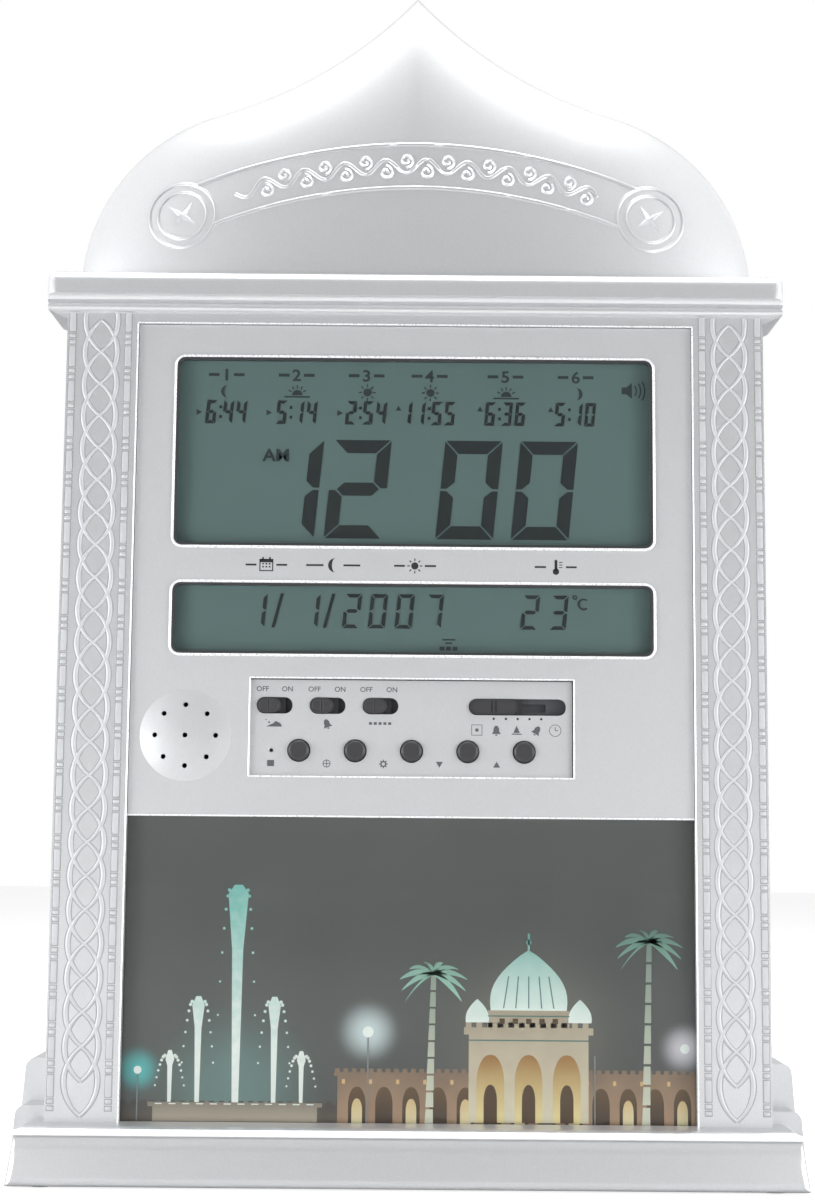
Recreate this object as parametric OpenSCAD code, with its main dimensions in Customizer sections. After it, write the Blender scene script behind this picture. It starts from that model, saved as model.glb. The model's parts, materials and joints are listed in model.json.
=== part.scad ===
// Azan clock: a free-standing table clock in the shape of an arched niche.
// Right-handed frame in millimetres: +X to the viewer's right, -Y towards the viewer, +Z up.
// The origin is on the table, under the middle of the base.

/* [Overall] */
// Width across the two columns
body_w = 162.6; // [158:0.2:172]
// Width of the foot at the table
base_w = 180; // [178:0.5:200]
// Depth of the foot, front to back
base_d = 60; // [58:0.5:72]
// Height of the base bar in front of the columns
bar_h = 13.4; // [12:0.2:18]
// Height of the picture
picture_h = 68; // [62:0.5:80]
// Width of the opening between the columns
opening_w = 129.2; // [127:0.2:133]
// Plain frieze between the control panel and the cornice
frieze_h = 2.5; // [1.5:0.1:5]

/* [Cornice] */
// Height of the cornice
cornice_h = 9.1; // [8:0.1:12]
// How far the cornice stands out past the columns
cornice_out = 4.4; // [3.5:0.1:6]
// Height of the flat face of the cornice
cornice_face_h = 2.9; // [2.5:0.1:4]
// Radius of the cornice's upper edge
cornice_edge_r = 2.6; // [0.6:0.1:3]
// Radius of the cornice's upright corners
cornice_corner_r = 2.5; // [0.8:0.1:3]

/* [Crest] */
// Width of the crest at its foot
crest_w = 161.6; // [150:0.2:162]
// Height of the crest from the cornice to its point
crest_h = 74.2; // [66:0.2:90]
// Radius of the crest's round shoulder
crest_shoulder_r = 45.5; // [40:0.5:50]
// Slope, in degrees, where the shoulder turns into the hollow sweep
crest_turn = 16.7; // [12:0.1:22]
// How far the middle of the crest bulges forward
crest_bulge = 15; // [12:0.5:17]
// Wall of the crest
crest_wall = 2.2; // [1.8:0.1:3]
// Depth of the crest's flat back half
crest_back_d = 15; // [12:0.5:20]

/* [Case] */
// How far the base bar stands out in front of the columns
bar_proud = 9; // [7:0.2:11]
// Depth of the front shell behind the columns' faces
front_d = 14; // [14:0.2:18]
// Depth of the rear shell behind the parting plane
rear_d = 23; // [22.8:0.2:28]
// Wall of both shells
wall = 2.2; // [2:0.1:2.6]
// Gap under the case, kept open by the rubber feet
foot_gap = 0.5; // [0.3:0.1:1.5]
// Height of the lower step of the foot
step_low_h = 16.2; // [15:0.2:20]
// Height of the upper step of the foot
step_high_h = 25.9; // [22:0.2:29]
// Width that each side of the foot loses from the table up to the upper step
foot_draft = 1.7; // [0.5:0.1:3]
// Diameter of a rubber foot
foot_pad_d = 9; // [6:0.5:12]
// Depth of a rubber foot's pocket
foot_pocket_d = 1; // [0.6:0.1:1.4]

/* [Case screws] */
// Diameter of a case screw's shank
case_screw_d = 2.8; // [2.4:0.1:3.2]
// Diameter of a case screw's head
case_head_d = 5.4; // [4.8:0.1:5.8]
// Outer diameter of a screw boss
case_boss_d = 7; // [6.4:0.1:7.4]
// Height of the lowest pair of screws
screw_low_z = 34; // [32:0.5:40]
// Distance of the highest pair of screws below the cornice
screw_top_gap = 14; // [10:0.5:20]

/* [Control panel] */
// How far the panel's face lies behind the columns' faces
panel_sunk = 1; // [0.6:0.1:1.4]
// Thickness of the panel's own plate in front of its flange
flange_t = 1.2; // [1:0.1:1.6]
// Width of the flange behind the front shell, past the opening
flange_w = 4.2; // [3.8:0.1:4.2]
// Width of both display windows
window_w = 110; // [104:0.5:112]
// Height of the main display window
main_window_h = 43.5; // [40:0.5:45]
// Height of the date display window
date_window_h = 15.5; // [13:0.5:16]
// Distance from the top of the panel to the main window
main_window_drop = 8.3; // [7.5:0.1:10]
// Height of the strip with marks between the two windows
window_gap = 9.6; // [8.5:0.1:11]
// Height of a window's raised rim above the panel
rim_h = 0.4; // [0.2:0.1:0.8]
// Width of a window's raised rim
rim_w = 0.85; // [0.5:0.05:1.5]
// Radius of a window's corners
window_r = 1.5; // [0.5:0.1:3]
// Width of the sunk control field
field_w = 74; // [73:0.5:76]
// Height of the sunk control field
field_h = 22.2; // [21.5:0.1:24]
// Depth of the sunk control field
field_sunk = 1; // [0.5:0.1:1.1]
// Distance from the bottom of the panel to the control field
field_z = 9.4; // [8.6:0.1:10.4]
// Distance from the control field up to the date window
field_gap = 6.1; // [6:0.1:9]

/* [Buttons and switches] */
// Diameter of a push button's cap
button_d = 4.8; // [4:0.1:5.2]
// Gap round a cap in its hole
button_gap = 0.25; // [0.15:0.05:0.4]
// Distance between two buttons
button_pitch = 12.9; // [12.7:0.1:13.4]
// Height of the buttons above the bottom of the control field
button_z = 5.8; // [5.4:0.1:6.2]
// Stroke of a push button
button_stroke = 0.5; // [0.2:0.05:0.7]
// How far a cap stands out of the control field
button_proud = 1.3; // [0.6:0.1:2]
// Diameter of the reset hole
reset_hole_d = 0.9; // [0.7:0.1:1.4]
// Distance from the first button to the reset hole
reset_pitch = 6.3; // [6.2:0.1:7]
// Width of an on-off switch's slot
slot_w = 8.2; // [8:0.1:8.6]
// Height of all switch slots
slot_h = 3.8; // [3.5:0.1:4.4]
// Distance between two on-off switches
slot_pitch = 12.15; // [12.1:0.05:12.4]
// Distance from the left edge of the field to the first slot's middle
slot_x = 5.5; // [5.2:0.1:5.8]
// Height of the slots' middle above the bottom of the control field
slot_z = 16.1; // [15.7:0.1:16.7]
// Stroke of an on-off switch
switch_stroke = 2.6; // [2:0.1:2.8]
// Distance between two settings of the mode switch
mode_step = 2.73; // [2.4:0.01:2.8]
// Length of the mode switch's knob
mode_knob_w = 11; // [9:0.1:11.4]
// Distance from the right edge of the field to the end of the mode slot
mode_slot_gap = 1.6; // [1.5:0.1:2]
// How far the switch knobs stand out of the control field
knob_proud = 0.9; // [0.4:0.1:1.4]

/* [Speaker] */
// Distance of the speaker's axis from the opening's edge
speaker_inset = 12.9; // [12.6:0.1:13]
// Height of the speaker's axis above the bottom of the panel
speaker_z = 18.4; // [17:0.1:22]
// Diameter of the speaker
speaker_d = 26; // [22:0.5:26]
// Diameter of the domed grille
grille_d = 21; // [18:0.5:21.5]
// How far the grille's dome stands up
grille_rise = 1.2; // [0.6:0.1:1.8]
// Diameter of a hole in the grille
grille_hole_d = 1.15; // [0.8:0.05:1.6]
// Radius of the ring of holes in the grille
grille_ring_r = 6.95; // [5:0.05:8]
// Number of holes in the ring
grille_holes = 8; // [6:1:10]

/* [Displays and boards] */
// Thickness of a display's glass
glass_t = 2; // [1.6:0.1:2.4]
// Width of the glass hidden behind each edge of its window
glass_lap = 2; // [1.5:0.1:2.2]
// Thickness of the clear lens in each window
lens_t = 1.1; // [0.8:0.1:1.15]
// Height of the bosses between the panel and the boards
standoff_h = 6.6; // [6.4:0.1:6.8]
// Thickness of a circuit board
board_t = 1.6; // [1:0.1:1.6]
// Diameter of a board screw's shank
board_screw_d = 2; // [1.8:0.1:2.2]

/* [Battery bay] */
// Diameter of a battery cell
cell_d = 14.5; // [13.5:0.1:14.5]
// Length of a battery cell with its cap
cell_h = 50.5; // [48:0.5:50.5]
// Number of cells side by side
cells = 4; // [2:1:4]
// Height of the battery bay's floor
bay_z = 31; // [30:0.5:33]
// Length of a contact spring under its cell
spring_h = 4.5; // [3:0.5:6]
// Thickness of the spring wire
spring_wire_d = 0.6; // [0.4:0.1:0.8]
// Thickness of the battery door
door_t = 2; // [1.6:0.1:2.1]

/* [Hidden] */
$fn = 48;

// Colours
silver = [0.80, 0.80, 0.81];
panel_grey = [0.74, 0.74, 0.75];
dark_grey = [0.27, 0.27, 0.28];
board_green = [0.10, 0.35, 0.20];
steel = [0.70, 0.71, 0.72];
black = [0.08, 0.08, 0.08];

// Clearances
slip = 0.2;       // between parts that slide into each other
skim = 0.1;       // between a flange and the face it runs on
bore_gap = 0.05;  // between a screw or pin and its hole, each side
cut = 1;          // how far a cutting body runs past the face it cuts

// Heights
case_z = foot_gap;
picture_z = bar_h;
panel_z = picture_z + picture_h;
field_bottom = panel_z + field_z;
date_window_z = field_bottom + field_h + field_gap;
main_window_z = date_window_z + date_window_h + window_gap;
frieze_z = main_window_z + main_window_h + main_window_drop;
panel_h = frieze_z - panel_z;
cornice_z = frieze_z + frieze_h;
top_z = cornice_z + cornice_h;

// Depths, all measured towards the back
front_y = -base_d / 2;
face_y = front_y + bar_proud;
parting_y = face_y + front_d;
back_y = parting_y + rear_d;
inner_y = face_y + wall;
panel_y = face_y + panel_sunk;
panel_back_y = inner_y + flange_t;
field_y = panel_y + field_sunk;
board_y = panel_back_y + standoff_h;
board_back_y = board_y + board_t;

// Foot
foot_half = base_w / 2;
bar_inset = 1.7;       // the front bar is this much narrower than the foot, each side
bar_half = foot_half - bar_inset;
bar_round_r = 3;       // radius of the bar's upper edges
bar_lean = 1.3;        // how far the bar's faces lean back over its height
step_low_set = 15;     // the lower step starts this far behind the bar's face
step_low_reach = 8;    // how far the lower step stands out past the back
step_high_reach = 3;   // how far the upper step stands out past the back
step_low_y = front_y + step_low_set;
step_low_back = back_y + step_low_reach;
step_high_back = back_y + step_high_reach;
step_round_r = 2.2;
foot_inset = 9;        // a rubber foot's middle lies this far in from the foot's edges

// Display windows
lens_lap = 1;          // how far a lens reaches past its window
holder_wall = 2;
glass_w = window_w + 2 * glass_lap;
holder_w = glass_w + 2 * slip + 2 * holder_wall;
zebra_t = 1.6;

// Control field and its parts
button_row_z = field_bottom + button_z;
slot_row_z = field_bottom + slot_z;
first_slot_x = -field_w / 2 + slot_x;
mode_travel = 4 * mode_step;
mode_slot_w = mode_knob_w + mode_travel + 2 * slip;
mode_slot_x = field_w / 2 - mode_slot_gap - mode_slot_w / 2;
knob_w = slot_w - switch_stroke - 2 * slip;
knob_h = slot_h - 2 * slip;
knob_rest_x = -slot_w / 2 + slip + knob_w / 2;
mode_rest_x = -mode_slot_w / 2 + slip + mode_knob_w / 2;
flange_plate_t = 0.9;
knob_flange_lap = 1.2;
slider_d = 1.6;
slider_reach = 1.4;
switch_body_h = 4.4;
switch_face_y = board_y - switch_body_h;
switch_body_lap = 0.8;  // how far a switch's body reaches past the ends of its slot
button_hole_d = button_d + 2 * button_gap;
button_flange_d = button_hole_d + 1.2;
tact_w = 6;
tact_h = 3.4;
tact_face_y = board_y - tact_h;
plunger_d = 3.4;
plunger_proud = 0.8;
plunger_sunk = 0.9;
reset_x = -2 * button_pitch - reset_pitch;
slot_r = slot_h / 2 - skim;
knob_r = knob_h / 2 - skim;
button_chamfer = 0.45;
knob_back_y = panel_back_y + skim + flange_plate_t;
pad_h = 0.3;           // raised pad on a knob, with cross grooves in it
pad_inset = 0.5;
groove_w = 0.45;
groove_pitch = 0.9;
slider_w = 2;
slider_sunk = 1.6;
switch_body_d = 4.6;

// Speaker
speaker_x = opening_w / 2 - speaker_inset;
speaker_row_z = panel_z + speaker_z;
speaker_ring_h = 2;
speaker_ring_t = 1.2;
speaker_deep = 6;
basket_t = 0.6;        // sheet of the speaker's basket
basket_rim_w = 3;
basket_rim_t = 1;
cone_t = 0.4;
cone_gap = 1.8;        // between the cone's neck and the basket's floor
magnet_d = 13;
magnet_t = 3;
grille_skin = 0.6;     // panel left behind the grille's edge

// Boards
holder_lap = glass_lap + slip + holder_wall;
board_margin = 0.4;    // how far the display board reaches past the holders
boss_strip = 6.4;      // strip of the display board that holds its screws, each side
board_split = 1;       // least gap between the two boards
display_board_half = holder_w / 2 + boss_strip;
display_board_z = date_window_z - holder_lap - board_margin;
display_board_top = main_window_z + main_window_h + holder_lap + board_margin;
control_lap_x = 5;     // how far the control board reaches past its field, to each side, down and up
control_lap_low = 1.4;
control_lap_high = 1.6;
control_board_left = -field_w / 2 - control_lap_x;
control_board_right = field_w / 2 + control_lap_x;
control_board_z = field_bottom - control_lap_low;
control_board_top = min(field_bottom + field_h + control_lap_high, display_board_z - board_split);
board_boss_d = 4.6;
board_boss_inset = 2.6;
board_screw_reach = 5;
board_head_t = 1.2;
ribbon_t = 0.3;
ribbon_w = 24;
ribbon_reach = 4;      // how far the ribbon reaches over each board
ribbon_flat = 1.5;     // length of it that lies flat there
glass_seat = 3;

// Parts on the boards
driver_d = 12;
driver_h = 1.8;
resin_d = 10;
resin_h = 1.7;
resin_z = 13;          // above the control board's lower edge, as the next heights are
crystal_d = 2;
crystal_len = 6;
crystal_z = 5;
crystal_inset = 12;    // of the crystal's end from the board's left edge
capacitor_d = 5;
capacitor_h = 7;
capacitor_z = 15;
capacitor_x = 4;
capacitor_pitch = 8;
thermistor_d = 3;
thermistor_leg_d = 0.6;
thermistor_leg_gap = 2;
thermistor_stand = 5;  // length of its legs
thermistor_inset = 8;  // from the board's right edge
thermistor_z = 4;

// Heat stakes that hold the panel and the picture
stake_d = 2.2;
stake_head_d = 3.2;
stake_head_t = 0.8;
stake_inset = 2.3;     // of a stake's middle from the opening's edge
stake_x = opening_w / 2 + stake_inset;
flange_rise = 1.6;     // how far the panel's flange reaches above the panel
panel_stakes = [for (share = [0.06, 0.5, 0.9]) panel_z + share * panel_h];
picture_stakes = [for (share = [0.2, 0.8]) picture_z + share * picture_h];
window_sheet_t = 1;
card_t = 0.4;
backing_t = 1.4;
picture_lap = 0.8;
picture_back_y = inner_y + window_sheet_t + card_t + backing_t;

// Case screws
screw_x = (body_w / 2 - wall + stake_x + stake_head_d / 2) / 2;
screw_top_z = cornice_z - screw_top_gap;
screw_rows = [screw_low_z, (screw_low_z + screw_top_z) / 2, screw_top_z];
well_web = 3;
screw_head_t = 2;
screw_skin = 1;        // wall left in front of a screw's hole
screw_end_gap = 0.5;   // between a screw's end and the bottom of its hole
screw_len = front_d - wall + well_web - screw_skin - screw_end_gap;
well_bore_d = case_head_d + 0.8;
well_wall = 1.2;
well_d = well_bore_d + 2 * well_wall;

// Battery bay
cell_gap = 0.5;
cell_pitch = cell_d + cell_gap;
contact_t = 0.4;
bay_wall = 1.5;
bay_w = cells * cell_pitch + cell_gap;
bay_h = cell_h + spring_h + 2 * contact_t + 2 * skim;
bay_front_y = back_y - wall - cell_d - 3 * slip;
cell_y = bay_front_y + slip + cell_d / 2;
door_lap = 2.2;
door_frame = 2;
door_w = bay_w + 2 * door_lap;
door_z = bay_z - door_lap;
door_h = bay_h + 2 * door_lap;
door_pin_d = 1.2;
door_pin_len = 1.6;
door_pin_y = back_y - door_t / 2;
door_pin_z = door_z + slip + door_t / 2;
finger_d = 14;
contact_w = 11;
end_cell_x = (cells - 1) / 2 * cell_pitch;
tab_w = 3;
tab_h = 2.5;
nub_d = 5.5;
nub_h = 1;
spring_r = 3.6;
spring_turns = 3;
turn_steps = 12;       // points along each turn of a spring
lead_d = 1.2;
lead_stub = 8;         // length over which a battery lead leaves straight
lead_z = 9;            // of the battery leads' ends above the control board's lower edge
lead_x = 13.5;         // of the battery leads' ends from the middle
speaker_lead_stub = 4;
speaker_lead_gap = 4;  // between the speaker's two leads
speaker_lead_inset = 4;

// Crest
crest_half = crest_w / 2;
shoulder_x = crest_half - crest_shoulder_r;
turn_x = shoulder_x + crest_shoulder_r * sin(crest_turn);
turn_z = crest_shoulder_r * cos(crest_turn);
sweep_rise = crest_h - turn_z;
sweep_r = (turn_x * turn_x + sweep_rise * sweep_rise)
  / (2 * (sweep_rise * cos(crest_turn) - turn_x * sin(crest_turn)));
sweep_x = turn_x + sweep_r * sin(crest_turn);
sweep_z = turn_z + sweep_r * cos(crest_turn);
sweep_start = atan2(turn_z - sweep_z, turn_x - sweep_x);
sweep_end = atan2(crest_h - sweep_z, -sweep_x);
crest_fullness = 2.4;  // the higher, the flatter the middle of the bulge
crest_tip_h = 15;      // height of the pointed tip above the bulge's own round form
crest_dome_h = crest_h - crest_tip_h;
crest_screw_x = 36;
crest_screw_d = 2.4;
crest_head_d = 4.3;
crest_boss_d = 6;
crest_boss_h = 10;
crest_boss_skin = 1;   // closed end of a boss above its hole
crest_screw_short = 1; // a screw ends this far before the end of its hole
crest_boss_grip = 0.6; // how far a boss or its rib runs into the skin
crest_rib_t = 2;
crest_inner_half = crest_half - crest_wall;
crest_skin_y = parting_y
  - (crest_bulge - crest_wall) * sqrt(1 - pow(crest_screw_x / crest_inner_half, crest_fullness));
crest_boss_y = max(inner_y + crest_head_d / 2 + slip, crest_skin_y + crest_boss_d / 2 - crest_boss_grip);

// Points along an arc in the plane, from one angle to another
function arc(centre, r, from, to, steps) =
  [for (i = [0 : steps]) let (a = from + (to - from) * i / steps) [centre[0] + r * cos(a), centre[1] + r * sin(a)]];

// Right half of the crest's outline above the cornice, from its foot to its point
function crest_half_outline(steps) = concat(
  arc([shoulder_x, 0], crest_shoulder_r, 0, 90 - crest_turn, steps),
  [for (i = [1 : steps]) let (a = sweep_start + (sweep_end - sweep_start) * i / steps)
    [sweep_x + sweep_r * cos(a), sweep_z + sweep_r * sin(a)]]
);

// Whole outline of the crest, from its right foot over the point to its left foot
function crest_outline(steps) = let (right = crest_half_outline(steps), last = len(right) - 1)
  concat(right, [for (i = [1 : last]) [-right[last - i][0], right[last - i][1]]]);

// Tube swept along a route of points, with a ring of corners square to the route at each point
function unit(v) = v / norm(v);
function route_way(route, i) = unit(route[min(i + 1, len(route) - 1)] - route[max(i - 1, 0)]);
function across(way) = abs(way[2]) < 0.9 ? unit(cross(way, [0, 0, 1])) : unit(cross(way, [1, 0, 0]));
module tube(route, d, sides) {
  corners = [for (i = [0 : len(route) - 1]) let (way = route_way(route, i), u = across(way), v = cross(way, u))
    for (k = [0 : sides - 1]) route[i] + d / 2 * (u * cos(360 * k / sides) + v * sin(360 * k / sides))];
  last = (len(route) - 1) * sides;
  walls = [for (i = [0 : len(route) - 2]) for (k = [0 : sides - 1])
    [(i + 1) * sides + k, (i + 1) * sides + (k + 1) % sides, i * sides + (k + 1) % sides, i * sides + k]];
  caps = [[for (k = [0 : sides - 1]) k], [for (k = [sides - 1 : -1 : 0]) last + k]];
  polyhedron(corners, concat(walls, caps));
}

// Box between two corners
module box(low, high) {
  translate(low)
    cube(high - low);
}

// Cylinder along Y, from the front
module rod_y(x, y0, y1, z, d) {
  translate([x, y0, z])
    rotate([-90, 0, 0])
      cylinder(d = d, h = y1 - y0);
}

// Rectangle with round corners, standing in the XZ plane and running back from y0 to y1
module round_plate(x0, x1, z0, z1, y0, y1, r) {
  translate([0, y1, 0])
    rotate([90, 0, 0])
      linear_extrude(y1 - y0)
        union() {
          translate([x0 + r, z0])
            square([x1 - x0 - 2 * r, z1 - z0]);
          translate([x0, z0 + r])
            square([x1 - x0, z1 - z0 - 2 * r]);
          for (x = [x0 + r, x1 - r], z = [z0 + r, z1 - r])
            translate([x, z])
              circle(r);
        }
}

// Solid whose section in the YZ plane runs along X
module along_x(points, half) {
  translate([-half, 0, 0])
    rotate([90, 0, 90])
      linear_extrude(2 * half)
        polygon(points);
}

// Solid whose section in the XZ plane runs along Y
module along_y(points, y0, y1) {
  translate([0, y1, 0])
    rotate([90, 0, 0])
      linear_extrude(y1 - y0)
        polygon(points);
}

// Mirrors a half section, given from the bottom outwards and up, about the middle
function both_sides(half) = concat(half, [for (i = [len(half) - 1 : -1 : 0]) [-half[i][0], half[i][1]]]);

// How far the cornice's moulding stands out of the column at each height: torus, cove, flat face, round edge
torus_share = 0.3;     // of the height under the flat face
torus_out = 0.6;       // of the torus's radius that stands out of the column
cove_turn = 80;        // degrees of arc in the cove
edge_turn = 75;        // degrees of arc in the round upper edge
torus_r = (cornice_h - cornice_face_h - cornice_edge_r) * torus_share;
cove_r = cornice_h - cornice_face_h - cornice_edge_r - 2 * torus_r;
moulding = concat(
  [[0, cornice_z]],
  arc([torus_r * torus_out, cornice_z + torus_r], torus_r, -90, 60, 6),
  arc([cornice_out, cornice_z + 2 * torus_r - skim], cove_r, 90 + cove_turn, 90, 6),
  [[cornice_out, top_z - cornice_edge_r]],
  arc([cornice_out - cornice_edge_r, top_z - cornice_edge_r], cornice_edge_r, 90 - edge_turn, 90, 4)
);

// Section of the cornice across one end: slanting underside, flat side, round upper edge
end_drop = 1.5;        // how far the end's underside runs down the column
end_rise = 0.5;        // how far the underside rises outwards
end_splay = 3.8;       // degrees by which each end widens towards the back
cornice_half = body_w / 2 + cornice_out;
cornice_front_y = face_y - cornice_out;
end_section = concat(
  [[-2 * cornice_half, cornice_z - end_drop], [-cornice_out, cornice_z - end_drop], [0, cornice_z + end_rise]],
  arc([-cornice_edge_r, top_z - cornice_edge_r], cornice_edge_r, 90 - edge_turn, 90, 4),
  [[-2 * cornice_half, top_z]]
);

// Everything inside one end face of the cornice
module cornice_end(side) {
  translate([side * cornice_half, cornice_front_y, 0])
    rotate([0, 0, -side * end_splay])
      mirror([side < 0 ? 1 : 0, 0, 0])
        along_y(end_section, -cornice_half, 2 * (parting_y - cornice_front_y));
}

// Cornice: the moulding runs across the front, and both ends splay towards the back
module cornice_solid() {
  back_half = cornice_half + (parting_y - cornice_front_y) * tan(end_splay);
  intersection() {
    along_x(concat([for (p = moulding) [face_y - p[0], p[1]]],
      [[parting_y, top_z], [parting_y, cornice_z - end_drop], [face_y, cornice_z - end_drop]]), back_half);
    cornice_end(-1);
    cornice_end(1);
    translate([0, 0, cornice_z - end_drop])
      linear_extrude(cornice_h + end_drop)
        union() {
          polygon([[-back_half, parting_y], [-cornice_half, cornice_front_y + cornice_corner_r],
            [cornice_half, cornice_front_y + cornice_corner_r], [back_half, parting_y]]);
          translate([-cornice_half + cornice_corner_r, cornice_front_y])
            square([2 * (cornice_half - cornice_corner_r), cornice_corner_r * 2]);
          for (side = [-1, 1])
            translate([side * (cornice_half - cornice_corner_r), cornice_front_y + cornice_corner_r])
              circle(cornice_corner_r);
        }
  }
}

// Half section of the foot at one step: leaning side, round upper edge
function foot_half_section(half, h) = concat(
  [[half, case_z]],
  arc([half - foot_draft * h / step_high_h - step_round_r, h - step_round_r], step_round_r, 4, 90, 5)
);

// Base bar in front of the columns, with leaning faces and round upper edges
module bar_solid() {
  intersection() {
    along_x(concat(
      [[step_low_y + cut, case_z], [front_y, case_z]],
      arc([front_y + bar_lean + bar_round_r, bar_h - bar_round_r], bar_round_r, 176, 90, 5),
      [[step_low_y + cut, bar_h]]
    ), bar_half);
    along_y(both_sides(concat(
      [[bar_half, case_z]],
      arc([bar_half - bar_lean - bar_round_r, bar_h - bar_round_r], bar_round_r, 4, 90, 5)
    )), front_y, step_low_y + cut);
  }
}

// Case screws' places
module at_case_screws() {
  for (side = [-1, 1], z = screw_rows)
    translate([side * screw_x, 0, z])
      children();
}

// Crest screws' places, on the cornice's top
module at_crest_screws() {
  for (side = [-1, 1])
    translate([side * crest_screw_x, crest_boss_y, top_z])
      children();
}

// Front shell: columns, frieze, cornice and base bar in one moulding, with screw bosses and heat stakes inside
module front_case() {
  color(silver)
    difference() {
      union() {
        difference() {
          union() {
            box([-body_w / 2, face_y, case_z], [body_w / 2, parting_y, cornice_z]);
            cornice_solid();
            bar_solid();
            along_y(both_sides(foot_half_section(foot_half, step_low_h)), step_low_y, parting_y);
          }
          // hollow behind the columns and the picture
          box([-body_w / 2 + wall, inner_y, case_z + wall], [body_w / 2 - wall, parting_y + cut, top_z - wall]);
          // hollow of the base
          box([-bar_half + bar_lean + wall, front_y + bar_lean + wall, case_z + wall],
            [bar_half - bar_lean - wall, parting_y + cut, bar_h - wall]);
          // opening for the picture and the control panel
          box([-opening_w / 2, face_y - cut, picture_z], [opening_w / 2, inner_y + cut, frieze_z]);
        }
        at_case_screws()
          rod_y(0, inner_y - skim, parting_y, 0, case_boss_d);
        for (side = [-1, 1]) {
          for (z = panel_stakes) {
            rod_y(side * stake_x, inner_y - skim, panel_back_y + stake_head_t, z, stake_d);
            rod_y(side * stake_x, panel_back_y, panel_back_y + stake_head_t, z, stake_head_d);
          }
          for (z = picture_stakes) {
            rod_y(side * stake_x, inner_y - skim, picture_back_y + stake_head_t, z, stake_d);
            rod_y(side * stake_x, picture_back_y, picture_back_y + stake_head_t, z, stake_head_d);
          }
        }
      }
      at_case_screws()
        rod_y(0, inner_y + screw_skin, parting_y + cut, 0, case_screw_d + 2 * bore_gap);
      at_crest_screws()
        translate([0, 0, -wall - cut])
          cylinder(d = crest_screw_d + 2 * slip, h = wall + 2 * cut);
      for (side = [-1, 1])
        foot_pocket(side, -1);
    }
}

// Crest's bulging skin: an outer and an inner sheet of rings that shrink towards the middle of its foot, and that
// turn from the pointed outline into half an ellipse as they do
function flipped(list) = [for (j = [len(list) - 1 : -1 : 0]) list[j]];
module crest_skin(steps, rings) {
  outline = crest_outline(steps);
  n = len(outline) - 1;
  dome = arc([0, 0], 1, 0, 180, n);
  inner_scale = (crest_half - crest_wall) / crest_half;
  layer = (rings) * (n + 1) + 1;
  points = [for (inside = [0, 1])
    let (size = inside == 1 ? inner_scale : 1, bulge = crest_bulge - inside * crest_wall)
    for (k = [0 : rings]) let (t = sin(90 * k / rings), y = parting_y - bulge * sqrt(max(0, 1 - pow(t, crest_fullness))))
      for (i = k == 0 ? [0] : [0 : n]) let (
          x = outline[i][0] * t * t + crest_half * dome[i][0] * (1 - t * t),
          z = outline[i][1] * t * t + crest_dome_h * dome[i][1] * (1 - t * t))
        [x * t * size, y, top_z + z * t * size]];
  function at(inside, k, i) = inside * layer + (k == 0 ? 0 : 1 + (k - 1) * (n + 1) + i);
  skin = [for (inside = [0, 1], k = [0 : rings - 1], i = [0 : n - 1]) let (
      ring = k == 0
        ? [at(inside, 1, i + 1), at(inside, 1, i), at(inside, 0, 0)]
        : [at(inside, k, i + 1), at(inside, k + 1, i + 1), at(inside, k + 1, i), at(inside, k, i)])
    inside == 0 ? ring : flipped(ring)];
  rim = [for (i = [0 : n - 1]) [at(0, rings, i + 1), at(1, rings, i + 1), at(1, rings, i), at(0, rings, i)]];
  foot = [for (k = [0 : rings - 1], side = [0, 1]) let (
      i = side * n,
      strip = [at(0, k + 1, i), at(1, k + 1, i), at(1, k, i), at(0, k, i)])
    side == 0 ? strip : flipped(strip)];
  polyhedron(points, concat(skin, rim, foot));
}

// Crest: a pillow-shaped onion arch on top of the cornice, with two bosses for the screws that come up from below
module crest() {
  color(silver)
    difference() {
      union() {
        crest_skin(20, 14);
        at_crest_screws() {
          cylinder(d = crest_boss_d, h = crest_boss_h);
          box([-crest_rib_t / 2, crest_skin_y - crest_boss_grip - crest_boss_y, 0],
            [crest_rib_t / 2, 0, crest_boss_h]);
        }
      }
      at_crest_screws()
        translate([0, 0, -cut])
          cylinder(d = crest_screw_d + 2 * bore_gap, h = crest_boss_h - crest_boss_skin + cut);
    }
}

// Screws that hold the crest on the cornice
module crest_screws() {
  color(steel)
    at_crest_screws() {
      translate([0, 0, -wall - screw_head_t])
        cylinder(d = crest_head_d, h = screw_head_t);
      translate([0, 0, -wall])
        cylinder(d = crest_screw_d, h = wall + crest_boss_h - crest_boss_skin - crest_screw_short);
    }
}

// Row of board bosses or screws: the display board's four and the control board's four
display_boss_x = display_board_half - board_boss_inset;
board_bosses = concat(
  [for (side = [-1, 1], z = [display_board_z + board_boss_inset, display_board_top - board_boss_inset])
    [side * display_boss_x, z]],
  [[control_board_left + board_boss_inset, control_board_top - board_boss_inset],
   [control_board_right - board_boss_inset, control_board_top - board_boss_inset],
   [control_board_right - board_boss_inset, control_board_z + board_boss_inset],
   [-1.5 * button_pitch, control_board_z + board_boss_inset]]
);

// One window's raised rim
module window_rim(z, h) {
  round_plate(-window_w / 2 - rim_w, window_w / 2 + rim_w, z - rim_w, z + h + rim_w,
    panel_y - rim_h, panel_y + skim, window_r + rim_w);
}

// One window's opening, with the rebate behind it that holds the lens
module window_cut(z, h) {
  round_plate(-window_w / 2, window_w / 2, z, z + h, panel_y - rim_h - cut, panel_back_y + cut, window_r);
  box([-window_w / 2 - lens_lap - skim, panel_back_y - lens_t - bore_gap, z - lens_lap - skim],
    [window_w / 2 + lens_lap + skim, panel_back_y + cut, z + h + lens_lap + skim]);
}

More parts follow.
